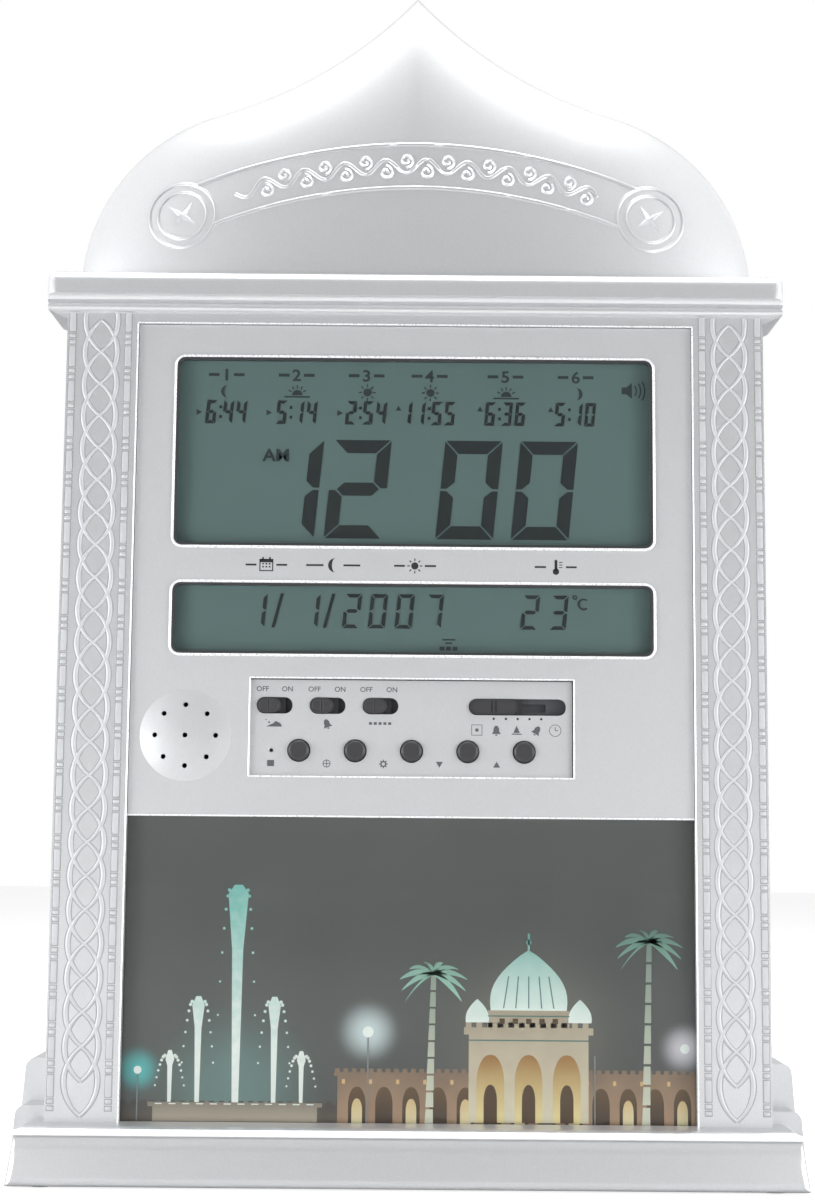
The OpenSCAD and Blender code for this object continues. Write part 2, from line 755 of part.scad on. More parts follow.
// Holes for the heat stakes, right through a plate
module stake_holes(heights, y0, y1) {
  for (side = [-1, 1], z = heights)
    rod_y(side * stake_x, y0, y1, z, stake_d + 2 * skim);
}

// Domed speaker grille, solid
dome_r = (grille_d * grille_d / 4 + grille_rise * grille_rise) / (2 * grille_rise);
module grille_dome() {
  intersection() {
    translate([-speaker_x, panel_y - grille_rise + dome_r, speaker_row_z])
      sphere(dome_r, $fn = 96);
    rod_y(-speaker_x, panel_y - grille_rise - cut, panel_y + skim, speaker_row_z, grille_d);
  }
}

// One hole of the grille, at a place counted from its middle
module grille_hole(x, z) {
  rod_y(x - speaker_x, panel_y - grille_rise - cut, panel_y + grille_skin + cut, z + speaker_row_z, grille_hole_d);
}

// Control panel: windows, sunk field with the slots and button holes, speaker grille, bosses behind
module fascia() {
  color(panel_grey)
    difference() {
      union() {
        box([-opening_w / 2 + skim, panel_y, panel_z + skim], [opening_w / 2 - skim, inner_y, frieze_z - skim]);
        box([-opening_w / 2 - flange_w, inner_y, panel_z + skim],
          [opening_w / 2 + flange_w, panel_back_y, frieze_z + flange_rise]);
        window_rim(main_window_z, main_window_h);
        window_rim(date_window_z, date_window_h);
        grille_dome();
        rod_y(-speaker_x, panel_back_y - skim, panel_back_y + speaker_ring_h, speaker_row_z,
          speaker_d + 2 * slip + 2 * speaker_ring_t);
        for (place = board_bosses)
          rod_y(place[0], panel_back_y - skim, board_y, place[1], board_boss_d);
      }
      window_cut(main_window_z, main_window_h);
      window_cut(date_window_z, date_window_h);
      box([-field_w / 2, panel_y - cut, field_bottom], [field_w / 2, field_y, field_bottom + field_h]);
      for (i = [0 : 2])
        round_plate(switch_x(i) - slot_w / 2, switch_x(i) + slot_w / 2, slot_row_z - slot_h / 2,
          slot_row_z + slot_h / 2, field_y - cut, panel_back_y + cut, slot_r);
      round_plate(mode_slot_x - mode_slot_w / 2, mode_slot_x + mode_slot_w / 2, slot_row_z - slot_h / 2,
        slot_row_z + slot_h / 2, field_y - cut, panel_back_y + cut, slot_r);
      for (i = [0 : 4])
        rod_y(button_x(i), field_y - cut, panel_back_y + cut, button_row_z, button_hole_d);
      rod_y(reset_x, field_y - cut, panel_back_y + cut, button_row_z, reset_hole_d);
      rod_y(-speaker_x, panel_y + grille_skin, panel_back_y + cut, speaker_row_z, grille_d - 2 * speaker_ring_t);
      rod_y(-speaker_x, panel_back_y, panel_back_y + speaker_ring_h + cut, speaker_row_z, speaker_d + 2 * slip);
      grille_hole(0, 0);
      for (i = [0 : grille_holes - 1])
        grille_hole(grille_ring_r * sin(360 * i / grille_holes), grille_ring_r * cos(360 * i / grille_holes));
      for (place = board_bosses)
        rod_y(place[0], board_y - board_screw_reach, board_y + cut, place[1], board_screw_d + 2 * bore_gap);
      stake_holes(panel_stakes, inner_y - cut, panel_back_y + cut);
    }
}

// Clear lens behind one window
module lens(z, h) {
  color([0.85, 0.95, 0.95, 0.4])
    box([-window_w / 2 - lens_lap, panel_back_y - lens_t, z - lens_lap],
      [window_w / 2 + lens_lap, panel_back_y, z + h + lens_lap]);
}

// Glass of one liquid-crystal display
module lcd_glass(z, h) {
  color([0.38, 0.47, 0.46])
    box([-glass_w / 2, panel_back_y, z - glass_lap], [glass_w / 2, panel_back_y + glass_t, z + h + glass_lap]);
}

// Frame that clamps one display and its contact strips against the board
module lcd_holder(z, h) {
  color([0.9, 0.9, 0.88])
    difference() {
      box([-holder_w / 2, panel_back_y, z - holder_lap], [holder_w / 2, board_y, z + h + holder_lap]);
      box([-glass_w / 2 - slip, panel_back_y - cut, z - glass_lap - slip],
        [glass_w / 2 + slip, panel_back_y + glass_t, z + h + glass_lap + slip]);
      box([-glass_w / 2 + glass_seat, panel_back_y, z - glass_lap],
        [glass_w / 2 - glass_seat, board_y + cut, z + h + glass_lap]);
    }
}

// Rubber contact strips along the upper and lower edge of each display
module zebra_strips() {
  color([0.85, 0.45, 0.55])
    for (place = [[main_window_z, main_window_h], [date_window_z, date_window_h]],
        z = [place[0] - glass_lap, place[0] + place[1] + glass_lap - zebra_t])
      box([-glass_w / 2 + glass_seat + slip, panel_back_y + glass_t, z],
        [glass_w / 2 - glass_seat - slip, board_y, z + zebra_t]);
}

// Board behind both displays
module display_board() {
  color(board_green)
    difference() {
      box([-display_board_half, board_y, display_board_z], [display_board_half, board_back_y, display_board_top]);
      board_screw_holes();
    }
}

// Board behind the switches and the buttons
module control_board() {
  color(board_green)
    difference() {
      box([control_board_left, board_y, control_board_z], [control_board_right, board_back_y, control_board_top]);
      board_screw_holes();
    }
}

// Clearance holes for the board screws
module board_screw_holes() {
  for (place = board_bosses)
    rod_y(place[0], board_y - cut, board_back_y + cut, place[1], board_screw_d + 2 * bore_gap);
}

// Screws through both boards into the panel's bosses
module board_screws() {
  color(steel)
    for (place = board_bosses) {
      rod_y(place[0], board_y - board_screw_reach + bore_gap, board_back_y, place[1], board_screw_d);
      rod_y(place[0], board_back_y, board_back_y + board_head_t, place[1], 1.9 * board_screw_d);
    }
}

// Drop of black resin over a chip on a board's back
module chip_drop(x, z, d, h) {
  r = (d * d / 4 + h * h) / (2 * h);
  edge = asin(d / 2 / r);
  color(black)
    translate([x, board_back_y, z])
      rotate([-90, 0, 0])
        rotate_extrude($fn = 64)
          polygon(concat([[0, 0]], arc([0, h - r], r, 90 - edge, 90, 10)));
}

// Two display drivers under resin
module display_chips() {
  for (side = [-1, 1])
    chip_drop(side * window_w / 4, main_window_z + main_window_h / 2, driver_d, driver_h);
}

// Timekeeping and sound chip under resin
module control_chip() {
  chip_drop(control_board_left / 2, control_board_z + resin_z, resin_d, resin_h);
}

// Watch crystal lying on the control board
module crystal() {
  color(steel)
    translate([control_board_left + crystal_inset, board_back_y + crystal_d / 2 + bore_gap, control_board_z + crystal_z])
      rotate([0, 90, 0])
        cylinder(d = crystal_d, h = crystal_len);
}

// Two electrolytic capacitors standing on the control board
module capacitors() {
  color([0.15, 0.2, 0.35])
    for (i = [0, 1])
      rod_y(capacitor_x + capacitor_pitch * i, board_back_y, board_back_y + capacitor_h,
        control_board_z + capacitor_z, capacitor_d);
}

// Thermistor bead on its two legs, for the temperature reading
module thermistor() {
  x = control_board_right - thermistor_inset;
  z = control_board_z + thermistor_z;
  color([0.55, 0.35, 0.15]) {
    for (side = [-1, 1])
      rod_y(x + side * thermistor_leg_gap / 2, board_back_y, board_back_y + thermistor_stand, z, thermistor_leg_d);
    translate([x, board_back_y + thermistor_stand, z])
      sphere(d = thermistor_d);
  }
}

// Flat ribbon that joins the two boards, bowed over the gap between them
module ribbon_cable() {
  mid = (control_board_top + display_board_z) / 2;
  low = control_board_top - ribbon_reach;
  high = display_board_z + ribbon_reach;
  bow = (high - low) / 2 - ribbon_flat;
  color([0.85, 0.85, 0.8])
    along_x(concat(
      [[board_back_y, low], [board_back_y + ribbon_t, low]],
      arc([board_back_y, mid], bow + ribbon_t, -90 + 6, 90 - 6, 12),
      [[board_back_y + ribbon_t, high], [board_back_y, high]],
      arc([board_back_y, mid], bow, 90, -90, 12)
    ), ribbon_w / 2);
}

// Middle of each push button and each on-off switch, from the left
function button_x(i) = (i - 2) * button_pitch;
function switch_x(i) = first_slot_x + i * slot_pitch;

// Push button cap: round head with a chamfer, flange behind the panel, stem down to the switch
module button_cap(i) {
  color(dark_grey) {
    translate([button_x(i), field_y - button_proud, button_row_z])
      rotate([-90, 0, 0])
        cylinder(d1 = button_d - 2 * button_chamfer, d2 = button_d, h = button_chamfer);
    rod_y(button_x(i), field_y - button_proud + button_chamfer, panel_back_y + skim, button_row_z, button_d);
    rod_y(button_x(i), panel_back_y + skim, panel_back_y + skim + flange_plate_t, button_row_z, button_flange_d);
    rod_y(button_x(i), panel_back_y + skim, tact_face_y - plunger_proud, button_row_z, plunger_d - 2 * skim);
  }
}

// Plunger of one push switch
module plunger(x) {
  color([0.9, 0.9, 0.9])
    rod_y(x, tact_face_y - plunger_proud, tact_face_y + plunger_sunk, button_row_z, plunger_d);
}

// Push switches under the five caps and behind the reset hole
module tact_switches() {
  color(black)
    for (x = concat([for (i = [0 : 4]) button_x(i)], [reset_x]))
      difference() {
        box([x - tact_w / 2, tact_face_y, button_row_z - tact_w / 2],
          [x + tact_w / 2, board_y, button_row_z + tact_w / 2]);
        rod_y(x, tact_face_y - cut, tact_face_y + plunger_sunk + button_stroke + slip, button_row_z,
          plunger_d + 2 * skim);
      }
}

// Body of one slide switch behind a slot of width w, with the groove its slider runs in
module slide_switch_body(x, w, rest_x, travel) {
  color(steel)
    difference() {
      box([x - w / 2 - switch_body_lap, switch_face_y, slot_row_z - switch_body_d / 2],
        [x + w / 2 + switch_body_lap, board_y, slot_row_z + switch_body_d / 2]);
      box([x + rest_x - slider_w / 2 - slip, switch_face_y - cut, slot_row_z - slider_d / 2 - skim],
        [x + rest_x + travel + slider_w / 2 + slip, switch_face_y + slider_sunk + skim,
         slot_row_z + slider_d / 2 + skim]);
    }
}

module slide_switches() {
  for (i = [0 : 2])
    slide_switch_body(switch_x(i), slot_w, knob_rest_x, switch_stroke);
}

module mode_switch() {
  slide_switch_body(mode_slot_x, mode_slot_w, mode_rest_x, mode_travel);
}

// Slider of one slide switch, from its groove up into the knob
module slider(x) {
  color([0.9, 0.9, 0.88])
    box([x - slider_w / 2, knob_back_y - slider_reach, slot_row_z - slider_d / 2],
      [x + slider_w / 2, switch_face_y + slider_sunk, slot_row_z + slider_d / 2]);
}

// Knob in a slot: finger piece with a grooved pad, flange behind the panel, socket for the slider
module slot_knob(x, w, grooves) {
  color(dark_grey)
    difference() {
      union() {
        round_plate(x - w / 2, x + w / 2, slot_row_z - knob_h / 2, slot_row_z + knob_h / 2,
          field_y - knob_proud + pad_h, panel_back_y + skim, knob_r);
        difference() {
          round_plate(x - w / 2 + pad_inset, x + w / 2 - pad_inset, slot_row_z - knob_h / 2 + pad_inset,
            slot_row_z + knob_h / 2 - pad_inset, field_y - knob_proud, field_y - knob_proud + pad_h + skim,
            knob_r - pad_inset);
          for (i = [0 : grooves - 1])
            box([x + (i - (grooves - 1) / 2) * groove_pitch - groove_w / 2, field_y - knob_proud - cut,
                 slot_row_z - knob_h / 2],
              [x + (i - (grooves - 1) / 2) * groove_pitch + groove_w / 2, field_y - knob_proud + pad_h,
               slot_row_z + knob_h / 2]);
        }
        box([x - w / 2 - knob_flange_lap, panel_back_y + skim, slot_row_z - knob_h / 2 - knob_flange_lap],
          [x + w / 2 + knob_flange_lap, knob_back_y, slot_row_z + knob_h / 2 + knob_flange_lap]);
      }
      box([x - slider_w / 2 - bore_gap, knob_back_y - slider_reach - slip, slot_row_z - slider_d / 2 - bore_gap],
        [x + slider_w / 2 + bore_gap, knob_back_y + cut, slot_row_z + slider_d / 2 + bore_gap]);
    }
}

// Turns a profile, given as distance from the axis and depth, round the speaker's axis
module round_speaker(points) {
  translate([-speaker_x, panel_back_y, speaker_row_z])
    rotate([-90, 0, 0])
      rotate_extrude($fn = 64)
        polygon(points);
}

// Steel basket of the speaker
module speaker_frame() {
  color(steel)
    round_speaker([
      [speaker_d / 2, 0], [speaker_d / 2, basket_rim_t], [speaker_d / 2 - basket_rim_w + 1, basket_rim_t],
      [magnet_d / 2, speaker_deep], [0, speaker_deep], [0, speaker_deep - basket_t],
      [magnet_d / 2 - basket_t, speaker_deep - basket_t],
      [speaker_d / 2 - basket_rim_w, basket_t], [speaker_d / 2 - basket_rim_w, 0]
    ]);
}

// Paper cone with its dust cap
module speaker_cone() {
  rim_r = speaker_d / 2 - basket_rim_w - skim;
  neck_r = magnet_d / 4;
  neck_y = speaker_deep - basket_t - cone_gap;
  color([0.2, 0.2, 0.2])
    round_speaker([
      [rim_r, basket_t - cone_t - skim], [rim_r, basket_t - skim], [neck_r, neck_y],
      [0, neck_y - cone_t], [0, neck_y - 2 * cone_t], [neck_r, neck_y - cone_t]
    ]);
}

// Magnet on the back of the basket
module speaker_magnet() {
  color([0.3, 0.3, 0.32])
    rod_y(-speaker_x, panel_back_y + speaker_deep, panel_back_y + speaker_deep + magnet_t, speaker_row_z, magnet_d);
}

// Clear sheet over the picture
module picture_window() {
  color([0.9, 0.95, 0.97, 0.4])
    picture_sheet(inner_y, window_sheet_t);
}

// Printed card
module picture_card() {
  color([0.25, 0.26, 0.28])
    picture_sheet(inner_y + window_sheet_t, card_t);
}

// One sheet of the picture, between the heat stakes
module picture_sheet(y, t) {
  box([-opening_w / 2 - picture_lap, y, picture_z - picture_lap], [opening_w / 2 + picture_lap, y + t, panel_z]);
}

// Plate that holds the picture, staked to the front shell
module picture_backing() {
  color(panel_grey)
    difference() {
      box([-opening_w / 2 - flange_w, picture_back_y - backing_t, picture_z - picture_lap],
        [opening_w / 2 + flange_w, picture_back_y, panel_z]);
      stake_holes(picture_stakes, inner_y, picture_back_y + cut);
    }
}

// Crest's outline made smaller by a margin, standing on the cornice's top
module crest_plate(margin, y0, y1) {
  share = (crest_half - margin) / crest_half;
  translate([0, 0, top_z])
    along_y([for (p = crest_outline(20)) p * share], y0, y1);
}

// Rear shell: back, stepped foot, back of the crest, battery bay and screw wells
module rear_case() {
  color(silver)
    difference() {
      union() {
        difference() {
          union() {
            box([-body_w / 2, parting_y, case_z], [body_w / 2, back_y, top_z]);
            crest_plate(slip, parting_y, parting_y + crest_back_d);
            along_y(both_sides(foot_half_section(foot_half, step_high_h)), parting_y, step_high_back);
            along_y(both_sides(foot_half_section(foot_half, step_low_h)), parting_y, step_low_back);
            along_y(both_sides(foot_half_section(foot_half, bar_h)), parting_y, -front_y);
          }
          box([-body_w / 2 + wall, parting_y - cut, case_z + wall], [body_w / 2 - wall, back_y - wall, top_z - wall]);
          crest_plate(wall + slip, parting_y - cut, parting_y + crest_back_d - wall);
          foot_hollow(parting_y + wall, step_high_back, step_high_h);
          foot_hollow(parting_y - cut, step_low_back, step_low_h);
          foot_hollow(parting_y - cut, -front_y, bar_h);
        }
        // battery bay and the frame of its door
        box([-bay_w / 2 - bay_wall, bay_front_y - bay_wall, bay_z - bay_wall],
          [bay_w / 2 + bay_wall, back_y - wall + skim, bay_z + bay_h + bay_wall]);
        box([-door_w / 2 - door_frame, back_y - door_t - door_frame, door_z - door_frame],
          [door_w / 2 + door_frame, back_y - wall + skim, door_z + door_h + door_frame]);
        at_case_screws()
          rod_y(0, parting_y, back_y - wall + skim, 0, well_d);
      }
      box([-bay_w / 2, bay_front_y, bay_z], [bay_w / 2, back_y + cut, bay_z + bay_h]);
      box([-door_w / 2, back_y - door_t, door_z], [door_w / 2, back_y + cut, door_z + door_h]);
      translate([-door_w / 2 - door_pin_len - slip, door_pin_y, door_pin_z])
        rotate([0, 90, 0])
          cylinder(d = door_pin_d + 2 * bore_gap, h = door_w + 2 * door_pin_len + 2 * slip);
      for (side = [-1, 1])
        terminal_slot(side);
      at_case_screws() {
        rod_y(0, parting_y + well_web, back_y + cut, 0, well_bore_d);
        rod_y(0, parting_y - cut, back_y, 0, case_screw_d + 2 * slip);
      }
      for (side = [-1, 1])
        foot_pocket(side, 1);
    }
}

// Hollow of one step of the foot, from y0 to a wall short of the step's back
module foot_hollow(y0, step_back, h) {
  box([-foot_half + foot_draft + wall, y0, case_z + wall],
    [foot_half - foot_draft - wall, step_back - wall, h - wall]);
}

// Place of one rubber foot
module at_foot(side, end) {
  translate([side * (foot_half - foot_inset), end * (base_d / 2 - foot_inset), 0])
    children();
}

// Pocket for one rubber foot
module foot_pocket(side, end) {
  at_foot(side, end)
    cylinder(d = foot_pad_d + 2 * bore_gap, h = case_z + foot_pocket_d);
}

module rubber_feet() {
  color(black)
    for (side = [-1, 1], end = [-1, 1])
      at_foot(side, end)
        cylinder(d = foot_pad_d, h = case_z + foot_pocket_d);
}

// Slot through the bay's roof for the tab of the first or the last contact
module terminal_slot(side) {
  box([side * end_cell_x - tab_w / 2 - skim, cell_y - contact_t / 2 - skim, bay_z + bay_h - cut],
    [side * end_cell_x + tab_w / 2 + skim, cell_y + contact_t / 2 + skim, bay_z + bay_h + bay_wall + cut]);
}

// Battery door, turning on two pins at its lower edge
module battery_door() {
  color(silver)
    difference() {
      union() {
        box([-door_w / 2 + slip, door_pin_y - door_t / 2 + skim, door_pin_z],
          [door_w / 2 - slip, back_y, door_z + door_h - slip]);
        translate([-door_w / 2 + slip, door_pin_y, door_pin_z])
          rotate([0, 90, 0])
            cylinder(d = door_t - 2 * skim, h = door_w - 2 * slip);
        translate([-door_w / 2 - door_pin_len, door_pin_y, door_pin_z])
          rotate([0, 90, 0])
            cylinder(d = door_pin_d, h = door_w + 2 * door_pin_len);
      }
      // finger notch at the upper edge
      rod_y(0, back_y - door_t / 2, back_y + cut, door_z + door_h, finger_d);
    }
}

// Middle of a cell across the clock; every second cell stands on its head
function cell_x(i) = (i - (cells - 1) / 2) * cell_pitch;
function upright(i) = i % 2 == 0;
module batteries() {
  for (i = [0 : cells - 1]) {
    z = bay_z + contact_t + skim + (upright(i) ? spring_h : 0);
    translate([cell_x(i), cell_y, z + (upright(i) ? 0 : cell_h)])
      mirror([0, 0, upright(i) ? 0 : 1]) {
        color([0.2, 0.35, 0.6])
          cylinder(d = cell_d, h = cell_h - nub_h);
        color(steel)
          cylinder(d = nub_d, h = cell_h);
      }
  }
}

// Coil springs under the flat end of each cell
module battery_springs() {
  color(steel)
    for (i = [0 : cells - 1])
      translate([cell_x(i), cell_y, upright(i) ? bay_z + contact_t + skim : bay_z + bay_h - contact_t - skim - spring_h])
        tube([for (k = [0 : turn_steps * spring_turns]) let (a = 360 * k / turn_steps)
          [spring_r * cos(a), spring_r * sin(a),
           spring_wire_d / 2 + (spring_h - spring_wire_d) * k / (turn_steps * spring_turns)]], spring_wire_d, 6);
}

// Sheet contacts above and below the cells: links between neighbours, and a tabbed terminal at each end
module battery_contacts() {
  low = bay_z + skim / 2;
  high = bay_z + bay_h - contact_t - skim / 2;
  color(steel) {
    for (i = [0 : 2 : cells - 2])
      contact(cell_x(i) - contact_w / 2, cell_x(i + 1) + contact_w / 2, low);
    for (i = [1 : 2 : cells - 3])
      contact(cell_x(i) - contact_w / 2, cell_x(i + 1) + contact_w / 2, high);
    for (side = [-1, 1]) {
      contact(side * end_cell_x - contact_w / 2, side * end_cell_x + contact_w / 2, high);
      box([side * end_cell_x - tab_w / 2, cell_y - contact_t / 2, high],
        [side * end_cell_x + tab_w / 2, cell_y + contact_t / 2, bay_z + bay_h + bay_wall + tab_h]);
    }
  }
}

// One flat contact
module contact(x0, x1, z) {
  box([x0, cell_y - contact_w / 2, z], [x1, cell_y + contact_w / 2, z + contact_t]);
}

// Smooth curve between two points, leaving and arriving along two guide points
function bend(p0, p1, p2, p3, steps) = [for (i = [0 : steps]) let (t = i / steps, s = 1 - t)
  s * s * s * p0 + 3 * s * s * t * p1 + 3 * s * t * t * p2 + t * t * t * p3];

// Lead between two solder joints: it leaves each of them square, along a direction, and bends over a stub's length
module lead(start, start_way, end, end_way, stub) {
  tube(concat(
    [start],
    bend(start + lead_d * start_way, start + stub * start_way, end + stub * end_way, end + lead_d * end_way, 12),
    [end]
  ), lead_d, 8);
}

// Two leads from the bay's terminals to the control board
module battery_leads() {
  tab_top = bay_z + bay_h + bay_wall + tab_h;
  for (side = [-1, 1])
    color(side < 0 ? [0.7, 0.1, 0.1] : black)
      lead([side * end_cell_x, cell_y, tab_top], [0, 0, 1],
        [side * lead_x, board_back_y, control_board_z + lead_z], [0, 1, 0], lead_stub);
}

// Two leads from the speaker to the control board
module speaker_leads() {
  for (side = [-1, 1])
    color(side < 0 ? [0.7, 0.1, 0.1] : black)
      let (spread = side * speaker_lead_gap / 2)
        lead([-speaker_x + magnet_d / 2 - lead_d, panel_back_y + speaker_deep + magnet_t, speaker_row_z + spread],
          [0, 1, 0],
          [control_board_left + speaker_lead_inset, board_back_y, speaker_row_z + spread - speaker_lead_gap],
          [0, 1, 0], speaker_lead_stub);
}

// Screws that join the two shells, driven from the back
module case_screws() {
  color(steel)
    at_case_screws() {
      rod_y(0, parting_y + well_web - screw_len, parting_y + well_web, 0, case_screw_d);
      rod_y(0, parting_y + well_web, parting_y + well_web + screw_head_t, 0, case_head_d);
    }
}

front_case();
crest();
crest_screws();
fascia();
lens(main_window_z, main_window_h);  // main_lcd_lens
lens(date_window_z, date_window_h);  // date_lcd_lens
lcd_glass(main_window_z, main_window_h);  // main_lcd
lcd_glass(date_window_z, date_window_h);  // date_lcd
lcd_holder(main_window_z, main_window_h);  // main_lcd_holder
lcd_holder(date_window_z, date_window_h);  // date_lcd_holder
zebra_strips();
display_board();
display_chips();
ribbon_cable();
control_board();
control_chip();
crystal();
capacitors();
thermistor();
tact_switches();
button_cap(0);  // button_cap_1
button_cap(1);  // button_cap_2
button_cap(2);  // button_cap_3
button_cap(3);  // button_cap_4
button_cap(4);  // button_cap_5
plunger(button_x(0));  // button_plunger_1
plunger(button_x(1));  // button_plunger_2
plunger(button_x(2));  // button_plunger_3
plunger(button_x(3));  // button_plunger_4
plunger(button_x(4));  // button_plunger_5
plunger(reset_x);  // reset_plunger
slide_switches();
slot_knob(switch_x(0) + knob_rest_x, knob_w, 1);  // switch_knob_1
slot_knob(switch_x(1) + knob_rest_x, knob_w, 1);  // switch_knob_2
slot_knob(switch_x(2) + knob_rest_x, knob_w, 1);  // switch_knob_3
slider(switch_x(0) + knob_rest_x);  // switch_slider_1
slider(switch_x(1) + knob_rest_x);  // switch_slider_2
slider(switch_x(2) + knob_rest_x);  // switch_slider_3
mode_switch();
slot_knob(mode_slot_x + mode_rest_x, mode_knob_w, 2);  // mode_knob
slider(mode_slot_x + mode_rest_x);  // mode_slider
speaker_frame();
speaker_cone();
speaker_magnet();
picture_window();
picture_card();
picture_backing();
rear_case();
battery_door();
batteries();
battery_springs();
battery_contacts();
battery_leads();
speaker_leads();
case_screws();
board_screws();
rubber_feet();
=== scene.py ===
"""Looks of a table azan clock in silver ABS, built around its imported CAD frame.

Every size and place is in millimetres unless its line says otherwise, and is turned to metres
where a mesh is made. X runs to the viewer's right, the front faces -Y, Z is up, and the origin
lies on the table under the foot.
"""

import json
import logging
import math
from collections.abc import Iterator
from contextlib import contextmanager
from dataclasses import dataclass
from enum import Enum

import bmesh
import bpy
from mathutils import Matrix, Vector
from mathutils.bvhtree import BVHTree

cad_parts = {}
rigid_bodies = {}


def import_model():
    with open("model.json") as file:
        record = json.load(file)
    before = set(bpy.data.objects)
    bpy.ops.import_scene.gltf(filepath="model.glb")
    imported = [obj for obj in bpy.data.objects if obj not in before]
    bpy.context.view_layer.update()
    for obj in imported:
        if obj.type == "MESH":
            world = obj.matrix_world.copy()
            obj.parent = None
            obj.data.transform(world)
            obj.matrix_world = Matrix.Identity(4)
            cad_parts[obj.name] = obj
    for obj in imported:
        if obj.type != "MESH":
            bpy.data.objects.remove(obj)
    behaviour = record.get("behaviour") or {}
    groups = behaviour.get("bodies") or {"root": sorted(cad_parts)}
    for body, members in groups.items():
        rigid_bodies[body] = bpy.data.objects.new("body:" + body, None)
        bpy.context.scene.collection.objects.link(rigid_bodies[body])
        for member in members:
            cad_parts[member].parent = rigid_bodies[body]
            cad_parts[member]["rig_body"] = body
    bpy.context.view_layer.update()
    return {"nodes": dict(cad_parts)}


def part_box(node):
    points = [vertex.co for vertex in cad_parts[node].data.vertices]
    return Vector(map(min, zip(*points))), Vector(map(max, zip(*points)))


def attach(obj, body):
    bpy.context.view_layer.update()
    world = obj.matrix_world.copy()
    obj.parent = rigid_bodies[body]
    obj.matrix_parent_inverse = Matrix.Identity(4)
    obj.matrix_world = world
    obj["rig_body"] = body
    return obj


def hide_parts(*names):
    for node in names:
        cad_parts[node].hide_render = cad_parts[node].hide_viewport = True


MM = 0.001
LOG = logging.getLogger("azan_clock")

Point = tuple[float, float]
Outline = list[Point]
Box = tuple[float, float, float, float]
Piece = bpy.types.Object
Tree = bpy.types.NodeTree
Socket = bpy.types.NodeSocket

FIXED_BODY = "root"
CAPITAL = 0.7  # height of a capital against the size of the letters
FULL_TURN = 360.0
EIGHT_WAYS = tuple(range(0, 360, 45))


class Slot(Enum):
    """The record's material slots, by name."""

    SILVER = "silver_abs"
    PANEL = "panel_abs"
    DARK = "dark_abs"
    GLASS = "lcd_glass"
    ACRYLIC = "clear_acrylic"
    CARD = "printed_card"


# The bars of each digit, lettered clockwise from the top one, with G in the middle.
DIGIT_BARS = {"0": "ABCDEF", "1": "BC", "2": "ABDEG", "3": "ABCDG", "4": "BCFG",
              "5": "ACDFG", "6": "ACDEFG", "7": "ABC", "8": "ABCDEFG", "9": "ABCDFG"}


def linear(code: str) -> tuple[float, float, float, float]:
    """Turns an sRGB hex colour into Blender's linear colour.

    Args:
        code: Six hex digits, such as "C8C9CB".

    Returns:
        Red, green, blue and alpha.
    """
    def channel(value: float) -> float:
        """Undoes the sRGB curve for one channel."""
        return value / 12.92 if value <= 0.04045 else ((value + 0.055) / 1.055) ** 2.4

    red, green, blue = (channel(int(code[i:i + 2], 16) / 255) for i in (0, 2, 4))
    return red, green, blue, 1.0


def add_node(tree: Tree, kind: str, settings: dict | None = None,
             sockets: dict | None = None) -> bpy.types.Node:
    """Adds one shader node.

    Args:
        tree: The node tree it goes into.
        kind: Blender's name for the kind of node.
        settings: Values of the node's own properties.
        sockets: Input values by name or number; another node's output is linked.

    Returns:
        The new node.
    """
    node = tree.nodes.new(kind)
    for key, value in (settings or {}).items():
        setattr(node, key, value)
    for key, value in (sockets or {}).items():
        if isinstance(value, Socket):
            tree.links.new(value, node.inputs[key])
        else:
            node.inputs[key].default_value = value
    return node


